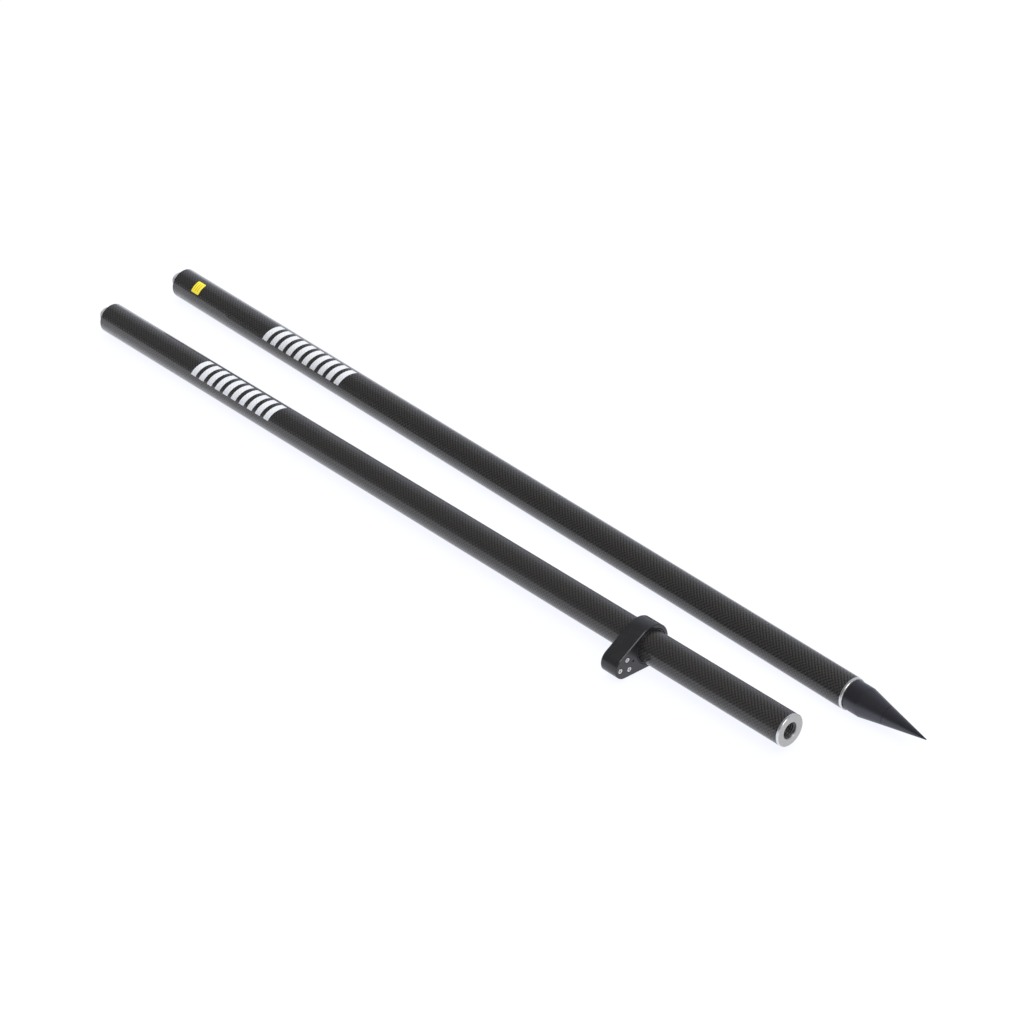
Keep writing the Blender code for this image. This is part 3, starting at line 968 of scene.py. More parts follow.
DISC = RingedDisc("vial_disc_white", (0.86, 0.87, 0.80), 0.6)
GLASS = Grained(
    "vial_clear_glass", (0.95, 0.98, 0.96), 0.03,
    (("Transmission Weight", 1.0), ("IOR", 1.5)), depth=0.0, spread=0.01,
)
LIQUID = Grained(
    "vial_green_liquid", (0.55, 0.88, 0.10), 0.03,
    (("Transmission Weight", 0.9), ("IOR", 1.36)), depth=0.0, spread=0.02,
)
FLOOR = LitFloor("pale_floor", (0.08, 0.08, 0.08), 0.8, (("Specular IOR Level", 0.0),))


@dataclass(frozen=True)
class Seat:
    """Where a finished piece belongs: its body, the nodes it stands for, its slot and its finish."""

    body: str
    nodes: tuple[str, ...]
    slot: str
    finish: Finish


def settle(piece: bpy.types.Object, seat: Seat) -> None:
    """Dress a piece, let it ride on its body, and report it.

    Args:
        piece: The finished object.
        seat: Where it belongs.
    """
    piece.data.materials.clear()
    piece.data.materials.append(seat.finish.material())
    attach(piece, seat.body)
    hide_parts(*seat.nodes)
    LOG.info("%s rides on %s, %d faces", piece.name, seat.body, len(piece.data.polygons))


def cut_out(piece: bpy.types.Object, tools: Sequence[bpy.types.Mesh]) -> None:
    """Take closed tool meshes out of a piece and keep the result as its mesh.

    Args:
        piece: The object to cut.
        tools: Meshes in the row frame. They are removed afterwards.
    """
    cutters = []
    for mesh in tools:
        cutter = bpy.data.objects.new(mesh.name, mesh)
        bpy.context.scene.collection.objects.link(cutter)
        cutters.append(cutter)
        change = piece.modifiers.new(mesh.name, "BOOLEAN")
        change.operation = "DIFFERENCE"
        change.solver = "EXACT"
        change.object = cutter
    bpy.context.view_layer.update()
    seen = piece.evaluated_get(bpy.context.evaluated_depsgraph_get())
    piece.data = bpy.data.meshes.new_from_object(seen)
    piece.modifiers.clear()
    piece.data.shade_smooth()
    piece.data.set_sharp_from_angle(angle=math.radians(30))
    for cutter in cutters:
        bpy.data.objects.remove(cutter)


# ---- the model's own places ----------------------------------------------------------------------


def joint(name: str) -> dict:
    """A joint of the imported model, by name."""
    return next(j for j in frame["joints"] if j["name"] == name)


def mount(name: str) -> dict:
    """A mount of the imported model, by name."""
    return next(m for m in frame["record"]["mounts"] if m["name"] == name)


@dataclass(frozen=True)
class Layout:
    """Frames of the pole's sections and of its level collar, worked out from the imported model."""

    lower: Axes
    upper: Axes
    collar: Axes
    lower_face: float
    upper_face: float

    @classmethod
    def read(cls) -> "Layout":
        """Read the frames.

        Returns:
            The layout. A section starts at its shoulder. The collar starts on the tube's axis at its
            foot-side face, with Z towards the level.
        """
        up = (0.0, 0.0, 1.0)
        turn, swivel = joint("point_turn"), joint("collar_swivel")
        foot, axis = np.array(turn["pos_m"]), np.array(turn["axis"])
        shoulder = float(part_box("lower_tube")[0].x)
        lower = Axes.along(foot - axis * (foot[0] - shoulder), axis, up)
        centre, along = np.array(swivel["pos_m"]), np.array(swivel["axis"])
        back = (np.array(mount("antenna_shoulder")["pos_m"]) - centre) @ along
        ahead = (np.array(mount("upper_foot_face")["pos_m"]) - centre) @ along
        upper = Axes.along(centre + along * back, along, up)
        screws = np.mean([joint(f"screw_{k}_turn")["pos_m"] for k in (1, 2, 3)], axis=0)
        collar = Axes.along(centre, along, screws - centre)
        return cls(lower, upper, collar, float(foot[0] - shoulder), float(ahead - back))


# ---- tube sections -------------------------------------------------------------------------------


@dataclass(frozen=True)
class TubeSizes:
    """Sizes that both sections share."""

    radius: float = 15.875 * MM
    bore: float = 13.875 * MM
    flange: float = 2.5 * MM
    chamfer: float = 0.6 * MM
    gap: float = 0.3 * MM
    socket_depth: float = 22.0 * MM
    seal_seat: float = 10.2375 * MM
    plain_seat: float = 8.7 * MM
    spigot: float = 34.0 * MM
    plug_depth: float = 30.0 * MM
    stud_radius: float = 7.9375 * MM
    stud_reach: float = 12.5 * MM
    stud_seat: float = 16.0 * MM
    stud_chamfer: float = 1.5 * MM
    pitch: float = 25.4 / 11 * MM
    thread_depth: float = 1.30 * MM
    relief: float = 3.0 * MM
    drill_point: float = 2.4 * MM
    ease: float = 0.25 * MM


@dataclass(frozen=True)
class Section:
    """One tube with its foot insert, top plug and stud."""

    side: str
    axes: Axes
    face: float
    sizes: TubeSizes = TubeSizes()

    @property
    def body(self) -> str:
        """Name of the body that the section is."""
        return f"{self.side}_section"

    @property
    def seat(self) -> float:
        """Radius of the socket's countersink, which holds a seal on the lower section only."""
        return self.sizes.seal_seat if self.side == "lower" else self.sizes.plain_seat

    def tube(self) -> None:
        """Wall of the tube: its outside, its bore and two ends, with eased edges.

        The outline is turned round by one corner's points, so that the map starts on the outside.
        """
        s, steps = self.sizes, 4
        end, ease = self.face - s.flange, s.ease
        outline = rounded([
            (0.0, s.bore, ease), (0.0, s.radius, ease), (end, s.radius, ease / 2), (end, s.bore, ease / 2),
        ], closed=True, steps=steps)
        outline = np.roll(outline, -(steps + 1), axis=0)
        patch = lathe(self.axes, outline[:, 0], outline[:, 1], 256, closed=True)
        piece = show(f"{self.side}_carbon_tube", make_mesh("carbon_tube", [patch]))
        settle(piece, Seat(self.body, (f"{self.side}_tube",), "carbon_fibre", CARBON))

    def foot_insert(self) -> None:
        """Flanged insert: eased rim, flat face, countersink, threaded socket with a drill-point floor.

        The thread's radius is kept above the countersink's cone. Faces that look out of the end, and the
        countersink, are faced metal, darkened as painted shade. Faces in the socket behind the cone are painted
        dark, as painted shade for the socket's inside.
        """
        s, segments = self.sizes, 144
        face, back = self.face, self.face - s.flange - s.spigot
        outer, collar = s.bore - s.gap, self.face - s.flange
        sunk = face - (self.seat - s.stud_radius - s.gap)
        rim = rounded([
            (back, 0.0, 0.0), (back, outer, 0.5 * MM), (collar, outer, 0.0), (collar, s.radius, 0.12 * MM),
            (face - s.chamfer, s.radius, 0.10 * MM), (face, s.radius - s.chamfer, 0.10 * MM),
            (face, self.seat, 0.08 * MM), (sunk, s.stud_radius + s.gap, 0.0),
        ])
        thread = Thread(s.pitch, s.stud_radius + 0.45 * s.gap, s.stud_radius - s.thread_depth + 0.4 * s.gap)
        bottom = face - s.socket_depth
        x = thread.places(sunk, bottom + s.relief)
        mouth = (s.stud_radius + s.gap) - (sunk - x)
        radii = np.maximum(thread.radius(x - face, segments), mouth[:, None])
        relief = [x[-1] - 0.2 * MM, bottom, bottom - s.drill_point]
        floor = [thread.crest, thread.crest, 0.0]
        mesh = turned("foot_insert", self.axes, segments, rim.T, (x, radii), (relief, floor))
        piece = show(f"{self.side}_socket_insert", mesh)
        settle(piece, Seat(self.body, (f"{self.side}_foot_insert",), "turned_aluminium", ALUMINIUM))
        mesh.materials.append(FACED_SHADED_ALUMINIUM.material())
        mesh.materials.append(SHADED_BORE.material())
        normals, centres = np.empty((2, len(mesh.polygons) * 3))
        mesh.polygons.foreach_get("normal", normals)
        mesh.polygons.foreach_get("center", centres)
        local = centres.reshape(-1, 3) - self.axes.origin
        reach = np.hypot(local @ self.axes.y, local @ self.axes.z)
        along = local @ self.axes.x
        front = along > bottom - s.relief
        # Painted shade: facing marks the end faces and countersink, which take the darkened faced metal, and
        # bore marks the socket faces behind the cone, which take the dark metal.
        facing = (normals.reshape(-1, 3) @ self.axes.x > 0.9) | (front & (reach < self.seat))
        cone = sunk - (s.stud_radius + s.gap - thread.crest)
        bore = front & (reach < s.stud_radius + 0.8 * s.gap) & (along < cone)
        mesh.polygons.foreach_set("material_index", np.where(bore, 2, facing).astype(np.int32))

    def top_plug(self) -> None:
        """Plug bonded flush in the top end, with a blind hole for the stud and a shallow face groove."""
        s = self.sizes
        outer, hole = s.bore - 0.08 * MM, s.stud_radius + 0.05 * MM
        mid, deep, soft = (outer + hole) / 2, 0.35 * MM, 0.08 * MM
        outline = rounded([
            (s.stud_seat + s.gap, 0.0, 0.0), (s.stud_seat + s.gap, hole, 0.0), (0.0, hole, deep),
            (0.0, mid - 0.5 * MM, soft), (deep, mid - 0.3 * MM, soft),
            (deep, mid + 0.3 * MM, soft), (0.0, mid + 0.5 * MM, soft),
            (0.0, outer, deep), (s.plug_depth, outer, deep), (s.plug_depth, 0.0, 0.0),
        ])
        piece = show(f"{self.side}_shoulder_plug", solid("top_plug", outline, self.axes, 128))
        settle(piece, Seat(self.body, (f"{self.side}_top_plug",), "turned_aluminium", FACED_SHADED_ALUMINIUM))

    def top_stud(self) -> None:
        """Threaded stud with a coned lead-in and a shallow centre drilling in its end.

        The thread's radius is kept under the lead-in's cone, and over a cone that runs out at its root.
        """
        s, segments = self.sizes, 96
        tip = -s.stud_reach
        thread = Thread(s.pitch, s.stud_radius, s.stud_radius - s.thread_depth)
        x = thread.places(tip, s.stud_seat)
        cone = s.stud_radius - s.stud_chamfer + (x - tip)
        runout = s.stud_radius - s.thread_depth * np.clip((s.stud_seat - 2.5 * MM - x) / s.pitch, 0.0, 1.0)
        radii = np.minimum(np.maximum(thread.radius(x, segments), runout[:, None]), cone[:, None])
        nose = [tip + 0.9 * MM, tip + 0.05 * MM, tip, tip]
        reach = [0.0, 1.5 * MM, 1.65 * MM, s.stud_radius - s.stud_chamfer - 0.25 * MM]
        root = [s.stud_seat, s.stud_seat], [s.stud_radius, 0.0]
        mesh = turned("stud", self.axes, segments, (nose, reach), (x, radii), root)
        piece = show(f"{self.side}_threaded_stud", mesh, 50)
        settle(piece, Seat(self.body, (f"{self.side}_top_stud",), "thread_steel", STUD_STEEL))

    def build(self) -> None:
        """Build the section's four pieces."""
        self.tube()
        self.foot_insert()
        self.top_plug()
        self.top_stud()


@dataclass(frozen=True)
class SerialLabel:
    """Yellow film stuck round part of the lower tube."""

    axes: Axes
    start: float = 29.0 * MM
    length: float = 12.0 * MM
    low: float = math.radians(6.5)
    high: float = math.radians(57.0)
    radius: float = 15.875 * MM
    lift: float = 0.03 * MM
    thickness: float = 0.12 * MM

    def build(self) -> None:
        """Curved sheet: a superellipse of power 12 mapped on the tube, with a rounded-over rim.

        A point at share q of the way from the middle to the rim and angle t is
        (a q c, b q s), where c and s are the signed sixth roots of cosine and sine.
        """
        steps, power = 160, 1.0 / 6.0
        t = -TAU * np.arange(steps) / steps
        c, s = (np.sign(f(t)) * np.abs(f(t)) ** power for f in (np.cos, np.sin))
        arc = (self.high - self.low) * self.radius
        share = np.array([0.0, 0.5, 0.9, 0.985, 1.0, 1.0, 0.9, 0.5, 0.0])
        top, base = self.radius + self.lift + self.thickness, self.radius + self.lift
        lift = np.array([top, top, top, top - 0.01 * MM, top - 0.06 * MM, base, base, base, base])
        x = self.start + self.length / 2 + share[:, None] * c[None] * self.length / 2
        v = arc / 2 + share[:, None] * s[None] * arc / 2
        angle = self.low + v / self.radius
        points = np.stack([x, -lift[:, None] * np.sin(angle), lift[:, None] * np.cos(angle)], -1)
        patch = Patch(self.axes.place(points), np.zeros(len(share)), np.zeros(steps + 1))
        mesh = make_mesh("label", [patch])
        spots, corners = np.empty(len(mesh.vertices) * 3), np.empty(len(mesh.loops), np.int32)
        mesh.vertices.foreach_get("co", spots)
        mesh.loops.foreach_get("vertex_index", corners)
        local = (spots.reshape(-1, 3) - self.axes.origin) @ np.stack([self.axes.x, self.axes.y, self.axes.z], 1)
        turn = np.arctan2(-local[:, 1], local[:, 2])
        flat = np.stack([local[:, 0] - self.start, (turn - self.low) * self.radius], -1)
        mesh.uv_layers["surface"].data.foreach_set("uv", flat[corners].ravel())
        piece = show("yellow_serial_label", mesh, 60)
        settle(piece, Seat("lower_section", ("serial_label",), "label_film", FILM))


# ---- the point -----------------------------------------------------------------------------------


@dataclass(frozen=True)
class Point:
    """Steel point: a shank that screws into the foot, a cone, and a separate hardened tip."""

    axes: Axes
    sizes: TubeSizes = TubeSizes()
    length: float = 86.2 * MM
    shank_radius: float = 14.5 * MM
    shank_length: float = 15.7 * MM
    tip_length: float = 45.0 * MM
    end_radius: float = 0.4 * MM
    stud_length: float = 17.0 * MM
    spigot_length: float = 12.0 * MM
    spigot_radius: float = 4.0 * MM
    neck: float = 2.2 * MM
    seal_section: float = 0.5 * MM

    @property
    def taper(self) -> float:
        """Radius that the cone loses for each metre of length."""
        return self.shank_radius / (self.length - self.shank_length)

    @property
    def seam(self) -> float:
        """Place of the line between body and tip."""
        return self.length - self.tip_length

    def body(self) -> None:
        """Threaded shank, eased shoulder, short cylinder and cone, ending in a narrow seam groove."""
        s, segments = self.sizes, 144
        major = s.stud_radius - s.gap
        thread = Thread(s.pitch, major, major - s.thread_depth + 0.05 * MM)
        x = thread.places(-self.stud_length, -self.neck)
        cone = major - s.stud_chamfer + (x + self.stud_length)
        radii = np.minimum(thread.radius(x, segments), cone[:, None])
        seam, cone_end = self.seam, self.tip_length * self.taper
        hole, hole_end = self.spigot_radius + s.gap, self.seam - self.spigot_length - s.gap
        rest = rounded([
            (-self.neck, thread.root, 0.0), (s.gap, thread.root, 0.0),
            (s.gap, self.shank_radius - s.chamfer, 0.10 * MM),
            (s.gap + s.chamfer, self.shank_radius, 0.15 * MM), (self.shank_length, self.shank_radius, 2.0 * MM),
            (seam - 0.12 * MM, cone_end + 0.02 * MM, 0.04 * MM), (seam, cone_end - 0.12 * MM, 0.02 * MM),
            (seam, hole, 0.2 * MM), (hole_end, hole, 0.0), (hole_end, 0.0, 0.0),
        ], steps=6)
        nose = [-self.stud_length, -self.stud_length], [0.0, major - s.stud_chamfer]
        mesh = turned("point_body", self.axes, segments, nose, (x, radii), rest.T)
        piece = show("steel_point_body", mesh)
        settle(piece, Seat("point", ("point_body",), "blackened_steel", POINT_STEEL))

    def tip(self) -> None:
        """Cone from the seam to a small rounded end, on a plain spigot."""
        start = self.seam + self.sizes.gap
        base = (self.length - start) * self.taper
        spigot_end = self.seam - self.spigot_length
        outline = rounded([
            (spigot_end, 0.0, 0.0), (spigot_end, self.spigot_radius, 0.4 * MM),
            (start, self.spigot_radius, 0.0), (start, base - 0.12 * MM, 0.02 * MM),
            (start + 0.12 * MM, base, 0.06 * MM),
            (self.length - 0.25 * MM, self.end_radius + 0.05 * MM, 0.5 * MM),
            (self.length, self.end_radius * 0.6, 0.1 * MM), (self.length, 0.0, 0.0),
        ], steps=6)
        piece = show("hardened_point_tip", solid("point_tip", outline, self.axes, 128))
        settle(piece, Seat("point", ("point_tip",), "blackened_steel", POINT_STEEL))

    def seal(self) -> None:
        """Rubber ring between the point and the foot."""
        section = self.seal_section
        seat = Seat("point_seal", ("point_o_ring",), "seal_rubber", RUBBER)
        torus("point_seal_ring", self.axes.moved(x=-section), self.sizes.stud_radius + section, section, seat)

    def build(self) -> None:
        """Build the point's three pieces."""
        self.body()
        self.tip()
        self.seal()


def torus(name: str, axes: Axes, ring: float, section: float, seat: Seat) -> None:
    """Ring about X whose section is a circle: (section cos u, ring + section sin u) turned about X.

    Args:
        name: The piece's name.
        axes: Frame of the ring.
        ring: Radius of the section's centre.
        section: Radius of the section.
        seat: Where the piece belongs.
    """
    u = -TAU * np.arange(20) / 20
    patch = lathe(axes, section * np.cos(u), ring + section * np.sin(u), 96, closed=True)
    settle(show(name, make_mesh(name, [patch]), 60), seat)


# ---- level collar --------------------------------------------------------------------------------


@dataclass(frozen=True)
class LevelCollar:
    """Teardrop collar that slides on the upper tube and holds the bullseye level."""

    axes: Axes
    thickness: float = 20.0 * MM
    radius: float = 21.56 * MM
    bore: float = 17.675 * MM
    lobe_radius: float = 12.28 * MM
    lobe_distance: float = 32.475 * MM
    chamfer: float = 0.7 * MM
    pocket_radius: float = 10.2 * MM
    pocket_floor: float = 7.0 * MM
    screw_circle: float = 6.8 * MM
    screw_clear: float = 1.8 * MM
    seat_radius: float = 2.8 * MM
    seat_depth: float = 2.0 * MM
    hole_distance: float = 23.075 * MM
    hole_radius: float = 1.1 * MM
    hole_depth: float = 3.0 * MM
    lock_radius: float = 2.3 * MM
    bush_inner: float = 16.175 * MM
    bush_outer: float = 17.375 * MM
    slit: float = 1.6 * MM

    def outline(self) -> tuple[np.ndarray, np.ndarray]:
        """The teardrop and its outward normals.

        Two circles are joined by their outer tangents, whose normals lean from the lobe's direction
        by the angle whose cosine is the radii's difference over the distance between the centres.

        Returns:
            Points and unit normals as (y, z), in order of growing angle from Z towards -Y.
        """
        lean = math.acos((self.radius - self.lobe_radius) / self.lobe_distance)
        small = np.linspace(-lean, lean, 41)
        big = np.linspace(lean, TAU - lean, 97)
        turns = np.concatenate([small, big])
        normal = np.stack([-np.sin(turns), np.cos(turns)], -1)
        lobe = np.arange(len(turns)) < len(small)
        reach = np.where(lobe, self.lobe_radius, self.radius)[:, None]
        centre = np.where(lobe, self.lobe_distance, 0.0)[:, None] * np.array([[0.0, 1.0]])
        points = centre + normal * reach
        spread, here = np.linspace(0, 1, 9)[1:-1, None], len(small)
        sides, filler = [], []
        for first, second in ((here - 1, here), (len(turns) - 1, 0)):
            sides.append(points[first] * (1 - spread) + points[second] * spread)
            filler.append(np.repeat(normal[first][None], len(spread), 0))
        points = np.concatenate([points[:here], sides[0], points[here:], sides[1]])
        normal = np.concatenate([normal[:here], filler[0], normal[here:], filler[1]])
        return points, normal

    def plate(self) -> bpy.types.Mesh:
        """The teardrop swept through the collar's thickness, drawn in at both edges as a chamfer.

        A point is the teardrop's point plus its normal times the edge profile's height. The two flat
        faces are closed with one many-sided face each.

        Returns:
            The mesh, closed.
        """
        points, normal = self.outline()
        c, t, soft, rim = self.chamfer, self.thickness, 0.12 * MM, 0.6 * MM
        edge = rounded([
            (-t, -c - rim, 0.0), (-t, -c, soft), (-t + c, 0.0, soft),
            (-c, 0.0, soft), (0.0, -c, soft), (0.0, -c - rim, 0.0),
        ])
        ring = points[None] + edge[:, 1, None, None] * normal[None]
        xs = np.broadcast_to(edge[:, 0, None, None], (len(edge), len(points), 1))
        grid = self.axes.place(np.concatenate([xs, ring], -1))
        steps = np.linalg.norm(np.diff(points, axis=0, append=points[:1]), axis=1)
        patch = Patch(grid, edge[:, 0] - edge[:, 1], np.append(0.0, np.cumsum(steps)))
        count, last = len(points), (len(edge) - 1) * len(points)
        caps = [list(range(count - 1, -1, -1)), list(range(last, last + count))]
        return make_mesh("level_collar", [patch], caps)

    def level_axes(self) -> Axes:
        """Frame of the level, on the collar's foot-side face."""
        return self.axes.moved(z=self.lobe_distance)

    def screw_axes(self, index: int) -> Axes:
        """Frame of adjusting screw 1, 2 or 3, which stand evenly round the level's axis."""
        return self.level_axes().around(self.screw_circle, TAU * (index - 1) / 3)

    def body(self) -> None:
        """Plate with the tube bore, level pocket, screw seats, the small plain hole and the lock hole.

        Each hole is a turned tool. Past a face, the ends of all but the lock hole's tool flare at 45 degrees,
        which eases the edge. The lock hole's edge is left sharp.
        """
        t, ease, soft, past = self.thickness, 0.35 * MM, 0.2 * MM, 4 * MM
        flat, deep = -self.pocket_floor, -self.pocket_floor - 2 * MM
        wide, narrow, seat = self.pocket_radius, self.screw_clear, -self.seat_depth
        bore = [
            (-t - past, 0.0), (-t - past, self.bore + ease + past), (-t + ease, self.bore),
            (-ease, self.bore), (past, self.bore + ease + past), (past, 0.0),
        ]
        pocket = [
            (-t - past, 0.0), (-t - past, wide + ease + past), (-t + ease, wide), (flat, wide), (flat, 0.0),
        ]
        screw = [
            (deep, 0.0), (deep, narrow), (seat, narrow), (seat, self.seat_radius), (-soft, self.seat_radius),
            (2 * MM, self.seat_radius + soft + 2 * MM), (2 * MM, 0.0),
        ]
        hole = [
            (-self.hole_depth - 0.5 * MM, 0.0), (-self.hole_depth, self.hole_radius),
            (-0.15 * MM, self.hole_radius), (1 * MM, self.hole_radius + 1.15 * MM), (1 * MM, 0.0),
        ]
        lock = [(10 * MM, 0.0), (10 * MM, self.lock_radius), (30 * MM, self.lock_radius), (30 * MM, 0.0)]
        tools = [("bore", bore, self.axes, 192), ("pocket", pocket, self.level_axes(), 128)]
        tools += [(f"screw_seat_{index}", screw, self.screw_axes(index), 64) for index in (1, 2, 3)]
        tools.append(("plain_hole", hole, self.axes.moved(z=self.hole_distance), 48))
        tools.append(("lock_hole", lock, self.lock_axes(), 48))
        piece = show("level_collar_body", self.plate())
        cut_out(piece, [solid(name, np.array(outline), axes, count) for name, outline, axes, count in tools])
        settle(piece, Seat("collar", ("collar_body",), "black_anodised", ANODISED))

    def lock_axes(self) -> Axes:
        """Frame of the lock screw: X outwards, opposite the lobe, half way through the collar."""
        return Axes(self.axes.point(x=-self.thickness / 2), -self.axes.z, self.axes.y, self.axes.x)

    def bush(self) -> None:
        """Split sleeve: a closed profile turned through all but the slit, with flat ends."""
        t, ease = self.thickness, 0.25 * MM
        inner, outer, segments = self.bush_inner, self.bush_outer, 160
        corners = [(-t, inner, ease), (-t, outer, ease), (0.0, outer, ease), (0.0, inner, ease)]
        outline = rounded(corners, closed=True, steps=3)
        half = self.slit / 2 / outer
        start, sweep = math.pi / 2 + half, TAU - 2 * half
        patch = lathe(self.axes, outline[:, 0], outline[:, 1], segments, True, start, sweep)
        first = (segments + 1) * np.arange(len(outline))
        caps = [first.tolist(), (first + segments)[::-1].tolist()]
        piece = show("split_collar_bush", make_mesh("bush", [patch], caps))
        settle(piece, Seat("bush", ("collar_bush",), "black_nylon", NYLON))

    def build(self) -> None:
        """Build the collar, its bush, its screws and its level."""
        self.body()
        self.bush()
        seat = Seat("lock_screw", ("collar_lock_screw",), "screw_steel", SCREW_STEEL)
        top = self.radius - 0.3 * MM
        SocketScrew("lock_grub_screw", self.lock_axes(), seat, end=self.bore, top=top, radius=2.0 * MM).build()
        for index in (1, 2, 3):
            seat = Seat(f"screw_{index}", (f"adjusting_screw_{index}",), "screw_steel", SCREW_STEEL)
            screw = SocketScrew(
                f"level_screw_{index}", self.screw_axes(index), seat, end=-12.2 * MM, top=-0.1 * MM,
                radius=1.5 * MM, head_radius=2.5 * MM, head_height=1.6 * MM,
            )
            screw.build()
        Vial(self.level_axes()).build()


@dataclass(frozen=True)
class SocketScrew:
    """Screw with a hexagon socket, with or without a head. X points out of the driven end."""

    name: str
    axes: Axes
    seat: Seat
    end: float
    top: float
    radius: float
    head_radius: float = 0.0
    head_height: float = 0.0
    edge: float = 0.30 * MM
    lead: float = 0.45 * MM
    socket: float = 0.98 * MM
    socket_mouth: float = 1.3
    socket_depth: float = 0.9 * MM
    pitch: float = 0.5 * MM
    thread_depth: float = 0.28 * MM

    def build(self) -> None:
        """Threaded shank, eased head, and a socket whose wall goes from a circle to a hexagon."""
        segments, edge, top, root = 48, self.edge, self.top, self.radius - self.thread_depth
        under, mouth = top - (self.head_height or edge), self.socket * self.socket_mouth
        thread = Thread(self.pitch, self.radius, root, steps=8)
        x = thread.places(self.end, under - 0.1 * MM)
        cone = self.radius - self.lead + (x - self.end)
        radii = np.minimum(thread.radius(x, segments), cone[:, None])
        head = np.array([(under, self.radius), (top, self.radius - edge), (top, mouth)])
        if self.head_height:
            head = rounded([
                (under, root, 0.0), (under, self.head_radius, 0.1 * MM), (top, self.head_radius, edge),
                (top, mouth, 0.0),
            ])
        wall, down = np.stack([hexagon(self.socket, segments)] * 2), top - self.socket_depth
        tip, floor = ([self.end], [0.0]), ([down - 0.25 * MM], [0.0])
        blocks = tip, (x, radii), head.T, ([top - 0.16 * MM, down], wall), floor
        settle(show(self.name, turned(self.name, self.axes, segments, *blocks)), self.seat)


@dataclass(frozen=True)
class Vial:
    """Bullseye level: housing, disc, liquid with its bubble, glass and retaining ring.

    Its frame is the collar's foot-side face, and it looks towards -X.
    """

    axes: Axes
    housing_radius: float = 9.6 * MM
    well_radius: float = 8.0 * MM
    housing_base: float = 8.6 * MM
    housing_floor: float = 13.6 * MM
    housing_top: float = 19.8 * MM
    vial_radius: float = 7.7 * MM
    disc_base: float = 13.9 * MM
    disc: float = 0.8 * MM
    glass_base: float = 15.0 * MM
    glass_top: float = 18.6 * MM
    glass_wall: float = 1.1 * MM
    ring_top: float = 19.6 * MM
    ring_height: float = 0.7 * MM
    ring_lip: float = 1.3 * MM
    bubble: float = 2.1 * MM
    flattened: float = 0.55
    dome: float = 0.25 * MM
    seal_section: float = 0.5 * MM
    seal_place: float = 7.8 * MM
    screw_circle: float = 6.8 * MM
    tapped_radius: float = 1.8 * MM
    tapped_depth: float = 3.9 * MM

    def housing(self) -> None:
        """Turned cup with eased edges and three tapped holes in its base."""
        outline = rounded([
            (-self.housing_floor, 0.0, 0.0), (-self.housing_floor, self.well_radius, 0.3 * MM),
            (-self.housing_top, self.well_radius, 0.2 * MM),
            (-self.housing_top, self.housing_radius, 0.45 * MM),
            (-self.housing_base, self.housing_radius, 0.3 * MM), (-self.housing_base, 0.0, 0.0),
        ])
        piece = show("level_housing", solid("housing", outline, self.axes, 128))
        low, hole = -self.housing_base - self.tapped_depth, self.tapped_radius
        drill = np.array([(low, 0.0), (low, hole), (0.0, hole), (0.0, 0.0)])
        places = [self.axes.around(self.screw_circle, TAU * k / 3) for k in range(3)]
        cut_out(piece, [solid(f"tapped_{k}", drill, axes, 32) for k, axes in enumerate(places)])
        settle(piece, Seat("vial", ("vial_housing",), "turned_aluminium", ALUMINIUM))

    def disc_piece(self) -> None:
        """White disc, turned from its middle outwards so that its map measures from the centre."""
        base, top, radius = -self.disc_base, -self.disc_base - self.disc, self.vial_radius
        corners = [(top, 0.0, 0.0), (top, radius, 0.15 * MM), (base, radius, 0.1 * MM), (base, 0.0, 0.0)]
        outline = rounded(corners)
        patch = lathe(self.axes, outline[:, 0], outline[:, 1], 96)
        patch.rows = patch.rows - patch.rows[0]
        piece = show("level_disc", make_mesh("disc", [patch]))
        settle(piece, Seat("vial", ("vial_base_disc",), "vial_white", DISC))

    def liquid(self) -> None:
        """Liquid that fills the glass, with the bubble as a hollow in its lit side.

        The side towards the glass is a disc of rings. Its depth is the part of a ball of the
        bubble's radius that lies below the surface, at each point's distance from the bubble.
        """
        segments, radius = 96, self.vial_radius - self.glass_wall - 0.3 * MM
        top, base = -self.glass_top + self.glass_wall + 0.3 * MM, -self.glass_base
        r = np.linspace(0.0, radius, 40)
        angle = -math.pi + TAU * np.arange(segments) / segments
        y, z = -r[:, None] * np.sin(angle), r[:, None] * np.cos(angle)
        up = np.array([self.axes.y[2], self.axes.z[2]])
        centre = unit(up) * (radius - self.bubble - 0.25 * MM)
        gap = np.hypot(y - centre[0], z - centre[1])
        hollow = np.sqrt(np.clip(self.bubble**2 - gap**2, 0.0, None)) * self.flattened
        points = self.axes.place(np.stack([top + hollow, y, z], -1))
        front = Patch(points, r, np.append(angle, angle[0] + TAU) * radius)
        back = lathe(self.axes, np.array([top, base, base]), np.array([radius, radius, 0.0]), segments)
        mesh = make_mesh("liquid", [front, back])
        settle(show("level_liquid", mesh, 40), Seat("vial", ("vial_fluid",), "vial_liquid", LIQUID))

    def glass(self) -> None:
        """Glass cap with a slightly domed top, which falls with the square of the distance from its middle."""
        radius, top, base, edge = self.vial_radius, -self.glass_top, -self.glass_base, 0.3 * MM
        inner, inside = radius - self.glass_wall, top + self.glass_wall
        share = np.linspace(0.0, 1.0, 16)
        dome = np.stack([top + self.dome * share**2, share * (radius - edge)], -1)
        rest = rounded([
            (top + self.dome, radius - edge, 0.0), (top + 2 * self.dome, radius, 0.2 * MM),
            (base, radius, 0.15 * MM), (base, inner, 0.15 * MM), (inside, inner, edge), (inside, 0.0, 0.0),
        ])
        piece = show("level_glass", solid("glass", np.concatenate([dome, rest]), self.axes, 96))
        settle(piece, Seat("vial", ("vial_glass",), "vial_glass", GLASS))

